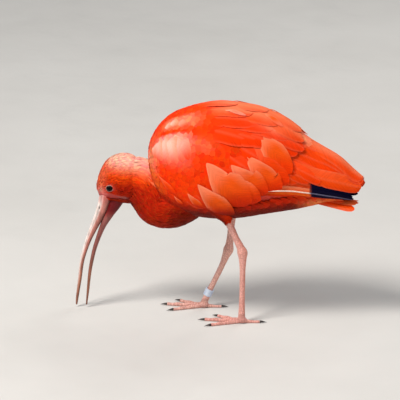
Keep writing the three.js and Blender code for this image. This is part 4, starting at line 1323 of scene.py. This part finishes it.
def build_tail(rng):
    rows = 26
    v, u = np.meshgrid(np.linspace(0, 1, rows), np.linspace(-1, 1, TAIL_COLUMNS), indexing="ij")
    half = TAIL_WIDTH / 2 * outline_width(v, SHAPE_LONG)
    end = np.minimum(1, 5 * (1 - v))
    bulge = 0.25 * (1 - 0.75 * u**2) * np.minimum(1, 6 * v) * end
    ridge = 0.25 * bell((u, 0, 0.14)) * end
    outline = outline_of(rows, TAIL_COLUMNS)
    tops = []
    unders = []
    tones = []
    for i in range(2 * len(TAIL_SHARES)):
        k = i // 2
        s = 2 * (i % 2) - 1
        share = TAIL_SHARES[k]
        root = np.array([TAIL_ROOT, s * (1 + 6 * share), TAIL_HIGH - 1.6 * share])
        tip_x = TAIL_TIP + (TAIL_OUTER_TIP - TAIL_TIP) * share + rng.uniform(-1, 1)
        fall = TAIL_DROP + (TAIL_FALL - TAIL_STEP - TAIL_DROP) * share + TAIL_STEP * (share > 0.5)
        tip = np.array([tip_x, s * (3 + (TAIL_SPREAD - 3) * share**0.6), TAIL_HIGH - fall])
        roll = math.radians(5 + 24 * share) * s
        across = np.array([0, math.cos(roll), -math.sin(roll)])
        up = unit(np.cross(unit(tip - root), across))
        up = up * np.sign(up[2])
        flat = root + (tip - root) * v[..., None] + across * (u * half)[..., None]
        flat = flat - up * (0.5 * u**2 + TAIL_LAYER * k)[..., None]
        top = flat + up * (bulge + ridge)[..., None]
        top[outline] = flat[outline]
        tops.append(top)
        unders.append(flat - up * bulge[..., None])
        rim = 0.4 * smooth(np.abs(u), 0.6, 1)
        # Painted light: the upper pairs are paler where the wing tips shade them
        tone = layered(SCARLET, (ORANGE, 0.7 - 0.21 * v), (PALE_ORANGE, 0.5 * (share < 0.5)), (SALMON, rim))
        tones.append(tone * rng.uniform(0.95, 1.15))
    length = np.full((len(tops), 1), TAIL_TIP - TAIL_ROOT)
    bake = np.stack([np.full(len(tops), 0.97), 0.1 + 0.06 * np.arange(len(tops))], -1)
    laid = vanes_of(np.array(tops), np.array(unders), length, bake, v=v, u=u, half=half)
    # Painted shade: the under sheets are darker than the tops
    paint = sheets(np.array(tones), 0.6 * np.array(tones))
    finished(vane_object("tail_feathers", laid, paint), FLIGHT, "plumage", "tail")


# Bare parts
def tube_object(name, table, stations, sides, paint, change=None):
    """Closed tube along a centre line. change moves its radius by a height in millimetres at t and angle."""
    t, a = ring_places(stations, sides)
    p = tube(table)(t, a)
    centre = catmull(table[:, :3], t)
    if change is not None:
        p = p + unit(p - centre) * change(t, a)[..., None]
    grid, quads = ring_quads(len(stations), sides)
    tone = paint(t, a, p).reshape(-1, 3)
    run = run_along(centre[:, 0])
    vane = np.stack([np.linalg.norm(p - centre, axis=-1) * (a - math.pi), run[:, None] + 0 * a], -1)
    bake = np.stack([t, a / (2 * math.pi)], -1)
    points = p.reshape(-1, 3)
    points = np.concatenate([points, [points[grid[0]].mean(0), points[grid[-1]].mean(0)]])
    tone = np.concatenate([tone, [tone[0], tone[-1]]])
    vane = np.concatenate([vane.reshape(-1, 2), vane[[0, -1], 0]])
    bake = np.concatenate([bake.reshape(-1, 2), bake[[0, -1], 0]])
    even_sides = np.arange(0, sides, 2)
    steps = [(even_sides + step) % sides for step in range(3)]
    hub = np.full(len(even_sides), grid.size)
    lower = np.stack([hub, *[grid[0][step] for step in steps[::-1]]], -1)
    upper = np.stack([hub + 1, *[grid[-1][step] for step in steps]], -1)
    return make_mesh(name, points, np.concatenate([quads, lower, upper]), tone, vane, bake)


GROOVE = math.radians(62)
NOSTRIL_AT = 0.145


def grooves(a, width):
    """1 along the groove on either side of the upper bill, and near 0 away from it."""
    return bell((a, GROOVE, width)) + bell((a, 2 * math.pi - GROOVE, width))


def upper_paint(t, a, p):
    z = p[..., 2]
    ridge = smooth(np.cos(a), -0.1, 0.45)
    groove = grooves(a, 0.14)
    return layered(
        BILL_SIDE,
        # Painted shade darkens the lower half
        (BILL_SIDE * 0.85, smooth(-np.cos(a), 0.1, 0.8)),
        (BILL_TAN, (0.8 - 0.3 * ridge) * (1 - smooth(z, 30, 100))),
        (BILL_PALE, ridge * smooth(z, 10, 90)),
        (BILL_BROWN, 0.45 * (1 - smooth(z, 4, 50))),
        (FACE_PINK, 0.6 * smooth(z, 152, 166)),
        (BILL_BROWN, 0.4 * groove * smooth(z, 20, 100)),
        # Painted shade marks the nostril's opening in the groove
        (BILL_BROWN * 0.25, np.clip(1.2 * groove * bell((t, NOSTRIL_AT, 0.022)), 0, 1)),
        # Painted shade along the lower edge, where the mandibles meet
        (BILL_BROWN * 0.7, 0.5 * smooth(np.cos(a), -0.55, -0.9)),
    )


def lower_paint(t, a, p):
    z = p[..., 2]
    ridge = smooth(np.cos(a), -0.1, 0.45)
    return layered(
        BILL_LOW,
        (BILL_TAN, (0.8 - 0.3 * ridge) * (1 - smooth(z, 30, 100))),
        (BILL_BROWN, 0.45 * (1 - smooth(z, 4, 50))),
        (FACE_CRIMSON, smooth(z, 132, 150)),
        (GAPE_RED, smooth(z, 132, 147)),
        # Painted shade along the top edge, under the upper bill
        (BILL_BROWN * 0.7, 0.5 * smooth(np.cos(a), 0.6, 0.95)),
    )


def bill_relief(t, a):
    """A shallow groove down each side from the nostril, and faint growth rings."""
    fade = smooth(t, 0.02, 0.1) * (1 - smooth(t, 0.6, 0.95))
    rings = 0.05 * np.sin(t * 520 + 2 * np.sin(3 * a)) * (1 - smooth(t, 0.3, 0.9))
    return -0.55 * grooves(a, 0.16) * fade * (1 + 1.2 * bell((t, NOSTRIL_AT, 0.03))) + rings


def build_bill():
    soft = lambda t, a: 0.05 * np.sin(t * 430 + np.sin(2 * a))
    upper = tube_object("bill_upper_horn", UPPER_BILL, np.linspace(0, 1, 200), 48, upper_paint, bill_relief)
    lower = tube_object("bill_lower_horn", LOWER_BILL, np.linspace(0, 1, 180), 40, lower_paint, soft)
    finished(upper, BILL, "bill", "bill_upper")
    finished(lower, BILL, "bill", "bill_lower")


def toe_row(root, turn, out, height, radius):
    angle = math.radians(turn)
    return [root[0] - math.cos(angle) * out, root[1] + math.sin(angle) * out, height, radius]


def toe_line(root, turn, length, radius, pads):
    """Centre line of a toe with its pads."""
    rows = []
    steps = 2 * pads + 1
    for i in range(steps + 1):
        r = radius * (1 - 0.3 * i / steps) * (1.1 if i % 2 else 0.92)
        rows.append(toe_row(root, turn, length * i / steps, r - SOLE_DEPTH, r))
    return np.array(rows)


def build_leg(side, line):
    """Bare leg and foot in one surface."""
    root = line[-1, :2]
    parts = [loft_mesh(tube(line), tube_inside(line), np.linspace(0.06, 1, 60), 28)]
    hub = bmesh.new()
    bmesh.ops.create_icosphere(hub, subdivisions=3, radius=HUB_RADIUS)
    for vert in hub.verts:
        x, y, z = vert.co
        vert.co = (x * 1.15 + root[0], y + root[1], z * HUB_FLAT + HUB_RADIUS * HUB_FLAT - SOLE_DEPTH)
    parts.append(hub)
    for _, turn, length, radius, pads in TOES:
        toe = toe_line(root, turn, length, radius, pads)
        parts.append(loft_mesh(tube(toe), tube_inside(toe), np.linspace(0, 1, 24), 16))
    points, quads = remeshed(f"leg_{side}", parts, LEG_VOXEL, 3)
    points[:, 2] = np.maximum(points[:, 2], 0.0)
    z = points[:, 2]
    axis = catmull(line[:, :3], np.linspace(0, 1, 400))
    run = run_along(axis)
    near = np.abs(z[:, None] - axis[None, :, 2]).argmin(1)
    off = points - axis[near]
    angle = np.arctan2(off[:, 1], -off[:, 0])
    on_foot = 1 - smooth(z, 9, 14)
    on_leg = 1 - on_foot
    dx, dy = points[:, :2].T - root[:, None]
    along = run[near] * on_leg + (run[-1] + np.hypot(dx, dy)) * on_foot
    around = 5 * angle * on_leg + 12 * np.arctan2(dy, dx) * on_foot
    shin = smooth(z, 14, 24) * smooth(-z, -96, -84)
    toe_top = on_foot * smooth(z, 1.6, 4.5)
    ridge = np.maximum(bell((angle, 0, 0.9)) * shin, toe_top)
    scute = 0.5 + 0.5 * np.cos(2 * math.pi * along / SCUTE_LENGTH)
    seam = (1 - scute**0.4) * ridge
    knee = bell((z, line[4, 2], 11))
    points = points - unit(off * np.array([1, 1, 0.2])) * (SEAM_DEPTH * seam * on_leg)[:, None]
    points[:, 2] -= SEAM_DEPTH * seam * on_foot * toe_top
    tone = layered(
        LEG_PINK,
        (LEG_ORANGE, 0.5 * smooth(-np.cos(angle), 0.2, 0.9) * on_leg),
        (PALE_PINK, 0.35 * knee),
        # Painted light: the far leg is paler where the body shades it
        (PINK_WHITE, 0.4 * (side == "right")),
        (LEG_SHADE, 0.25 * on_foot),
        (LEG_SHADE * 0.8, 0.5 * seam),
    )
    across = 0.5 + points[:, 1] / 100 * on_foot + 0.03 * angle * on_leg
    bake = np.clip(np.stack([across, along / 260], -1), 0, 1)
    leg = make_mesh(f"leg_{side}", points, quads, tone, np.stack([around, along], -1), bake)
    finished(leg, LEG, "leg_skin", f"shank_{side}", f"tarsus_{side}", f"foot_{side}")


def build_claws(side, line):
    """A curved claw with a flat underside on each toe."""
    tone = lambda t, a, p: mix(CLAW_DARK, CLAW_TIP, smooth(t, 0.5, 1))
    for name, turn, length, _, _ in TOES:
        rows = []
        for share in np.linspace(0, 1, 9):
            r = max(0.3, CLAW_RADIUS * (1 - share) ** 0.8)
            height = max(r + 0.02, 1.75 - 1.2 * share**2)
            rows.append(toe_row(line[-1], turn, length + GAP + CLAW_LENGTH * share, height, r))
        claw = tube_object(f"claw_{name}_{side}_horn", np.array(rows), np.linspace(0, 1, 30), 20, tone)
        finished(claw, CLAW, "claw", f"claw_{name}_{side}")


def build_band():
    """A plain ring round the far tarsus, its edges rounded."""
    half = BAND_HEIGHT / 2 - BAND_SOFT
    outer = BAND_OUTER - BAND_SOFT
    inner = BAND_OUTER - BAND_WALL + BAND_SOFT
    profile = []
    corners = ((outer, half), (inner, half), (inner, -half), (outer, -half))
    for quarter, corner in enumerate(corners):
        angle = np.radians(90 * quarter + np.linspace(0, 90, 5))
        profile.append(corner + BAND_SOFT * np.stack([np.cos(angle), np.sin(angle)], -1))
    profile = np.concatenate(profile)
    turn = np.linspace(0, 2 * math.pi, BAND_SIDES, endpoint=False)[:, None]
    way = unit(BAND_HIGH - BAND_LOW)
    side = unit(np.cross(way, [0, 1, 0]))
    ring = side * np.cos(turn) + np.cross(way, side) * np.sin(turn)
    points = (BAND_LOW + BAND_HIGH) / 2 + ring[:, None] * profile[None, :, :1] + way * profile[None, :, 1:]
    band = make_mesh("band_ring", points, hoop_quads(BAND_SIDES, len(profile)))
    finished(band, BAND, "band", "leg_band")


def cheek_width():
    s, up = head_places(*(EYE - HEAD_FOOT))
    rows = column(HEAD, np.array(s))
    share = (2 * up - rows[1] - rows[2]) / (rows[1] - rows[2])
    return rows[3] * math.sqrt(1 - share * share)


CHEEK = cheek_width()
LID_RADIUS = 4.5
LID_THICK = 0.9
LID_OPEN = 0.94
LID_TURN = math.radians(8)


def build_eye(side, sign):
    """Glossy ball with a dark pupil in a brown iris, seen through the same surface."""
    rings = 40
    sides = 56
    a, b = ring_places(np.linspace(0.02, math.pi - 0.02, rings), sides)
    radius = EYE_RADIUS * (1 + 0.05 * bell((a, 0, 0.5)))
    local = np.stack([np.sin(a) * np.cos(b), sign * np.cos(a), np.sin(a) * np.sin(b)], -1)
    points = [EYE[0], sign * (CHEEK - EYE_SINK), EYE[1]] + local * radius[..., None]
    tone = mix(PUPIL, IRIS_BROWN, smooth(a, 0.5, 0.6) * (1 - smooth(a, 0.95, 1.1)))
    ball = make_mesh(f"eyeball_{side}", points, facing(ring_quads(rings, sides)[1], side), tone)
    finished(ball, EYE_WET, "eye", f"eye_{side}")


def build_lids(side, sign):
    """Upper and lower lid in one ring with fine radial folds, pinched at the corners."""
    turns = 120
    steps = 18
    a, b = ring_places(np.linspace(0, 2 * math.pi, turns, endpoint=False), steps)
    corner = np.abs(np.cos(a)) ** 6
    thick = LID_THICK * (1 - 0.25 * corner) * (1 + 0.07 * np.sin(26 * a) * smooth(np.cos(b), -0.2, 0.8))
    radial = LID_RADIUS * (1 + 0.1 * corner) + thick * np.cos(b)
    out = 0.55 + thick * np.sin(b) * 0.9 - 0.6 * corner
    x = radial * np.cos(a)
    z = radial * np.sin(a) * LID_OPEN
    px = x * math.cos(LID_TURN) - z * math.sin(LID_TURN)
    pz = x * math.sin(LID_TURN) + z * math.cos(LID_TURN)
    points = np.stack([EYE[0] + px, sign * (CHEEK + out), EYE[1] + pz], -1)
    tone = mix(LID_BROWN, LID_EDGE, smooth(np.cos(b), -0.2, 0.9))
    lids = make_mesh(f"lids_{side}", points, facing(hoop_quads(turns, steps), side), tone)
    finished(lids, SKIN, "face_skin")


# Stage, camera and light, in metres
FLOOR_HALF = 6.0
FLOOR_DROP = 0.0004
FLOOR_LOW = (0.62, 0.6, 0.57)
FLOOR_HIGH = (0.66, 0.64, 0.61)
LIGHT_AIM = (0, 0, 0.2)
SKY_TINT = (0.82, 0.86, 0.9, 1)
SKY_STRENGTH = 0.36


def build_stage():
    mesh = bpy.data.meshes.new("floor")
    bm = bmesh.new()
    bmesh.ops.create_grid(bm, x_segments=1, y_segments=1, size=FLOOR_HALF)
    bm.to_mesh(mesh)
    bm.free()
    mesh.materials.append(plain_material("floor_pale", FLOOR_LOW, FLOOR_HIGH, 3.0, 0.8))
    floor = placed("floor", mesh)
    floor.location.z = -FLOOR_DROP


def axes():
    level = math.cos(VIEW_DROP)
    right = np.array([math.cos(VIEW_TURN), math.sin(VIEW_TURN), 0])
    back = np.array([math.sin(VIEW_TURN) * level, -math.cos(VIEW_TURN) * level, math.sin(VIEW_DROP)])
    return right, np.cross(back, right), back


def aimed(thing, place, way):
    """Put a camera or a light at a place, looking some way."""
    thing.location = Vector(place)
    thing.rotation_euler = Vector(way).to_track_quat("-Z", "Y").to_euler()


def build_camera():
    right, up, back = axes()
    data = bpy.data.cameras.new("camera")
    data.sensor_width = SENSOR
    data.lens = SENSOR * VIEW_DISTANCE / VIEW_WIDTH
    data.clip_end = 60
    camera = placed("camera", data)
    aimed(camera, (VIEW_RIGHT * right + VIEW_UP * up + VIEW_DISTANCE * back + SHIFT) * MM, -back)
    bpy.context.scene.camera = camera


def add_light(name, place, energy, size, tint):
    data = bpy.data.lights.new(name, "AREA")
    data.energy = energy
    data.size = size
    data.color = tint
    aimed(placed(name, data), place, Vector(LIGHT_AIM) - Vector(place))


def build_lights():
    add_light("key", (-1.1, -1.3, 2.5), 84, 0.9, (1.0, 0.97, 0.93))
    add_light("fill", (1.9, -1.8, 1.1), 11, 2.0, (0.92, 0.95, 1.0))
    add_light("rim", (0.9, 1.7, 1.9), 20, 1.4, (1.0, 0.98, 0.95))
    world = bpy.data.worlds.new("studio")
    world.use_nodes = True
    sky = world.node_tree.nodes["Background"]
    sky.inputs[0].default_value = SKY_TINT
    sky.inputs[1].default_value = SKY_STRENGTH
    bpy.context.scene.world = world
    bpy.context.scene.view_settings.view_transform = "Standard"


SKIN = skin_material()
FLIGHT = feather_material("flight_vanes", 0.9, 0.00012, 0.03)
CONTOUR = feather_material("contour_vanes", 0.8, 0.00012, 0.04)
FINE = feather_material("fine_vanes", 0.5, 0.0001, 0.06)
BILL = bill_material()
LEG = leg_material()
CLAW = plain_material("claw_horn", CLAW_DARK, CLAW_TIP, 300.0, 0.4)
BAND = plain_material("band_plastic", colour(184, 198, 222), colour(214, 226, 240), 160.0, 0.46)
EYE_WET = eye_material()


def build_coat(rng):
    laid = body_feathers(rng)
    paint = tinted(body_paint(laid["t"], laid["angle"]), laid, rng, tip=0.24, spread_of=0.075)
    coat_pieces("body_coat", laid, paint, CONTOUR, 3)
    laid = neck_feathers(rng)
    paint = tinted(front_paint(laid["points"]), laid, rng, 0.1, 0.42, 0.1)
    coat_pieces("neck_coat", laid, paint, CONTOUR)
    for side in ("left", "right"):
        laid = thigh_feathers(side, rng)
        # Painted shade: deep red all over and deeper at the rear, under the body
        rear = smooth(np.cos(laid["angle"]), -0.4, 0.6)
        base = layered(SCARLET, (DEEP_RED, 0.6), (SHADE_RED, 0.8 * rear))
        coat_pieces(f"thigh_coat_{side}", laid, tinted(base, laid, rng), CONTOUR)
    laid = head_feathers(rng)
    paint = tinted(head_paint(laid["points"]), laid, rng, 0.1, 0.3, 0.1)
    coat_pieces("head_coat", laid, paint, FINE, 2)


build_stage()
build_camera()
build_lights()
build_skin()
build_coat(np.random.default_rng(COAT_SEED))
build_wing("left", WING_SEED_LEFT)
build_wing("right", WING_SEED_RIGHT)
build_tail(np.random.default_rng(TAIL_SEED))
build_bill()
for side, sign, line in (("left", -1, NEAR_LEG), ("right", 1, FAR_LEG)):
    build_leg(side, line)
    build_claws(side, line)
    build_eye(side, sign)
    build_lids(side, sign)
build_band()
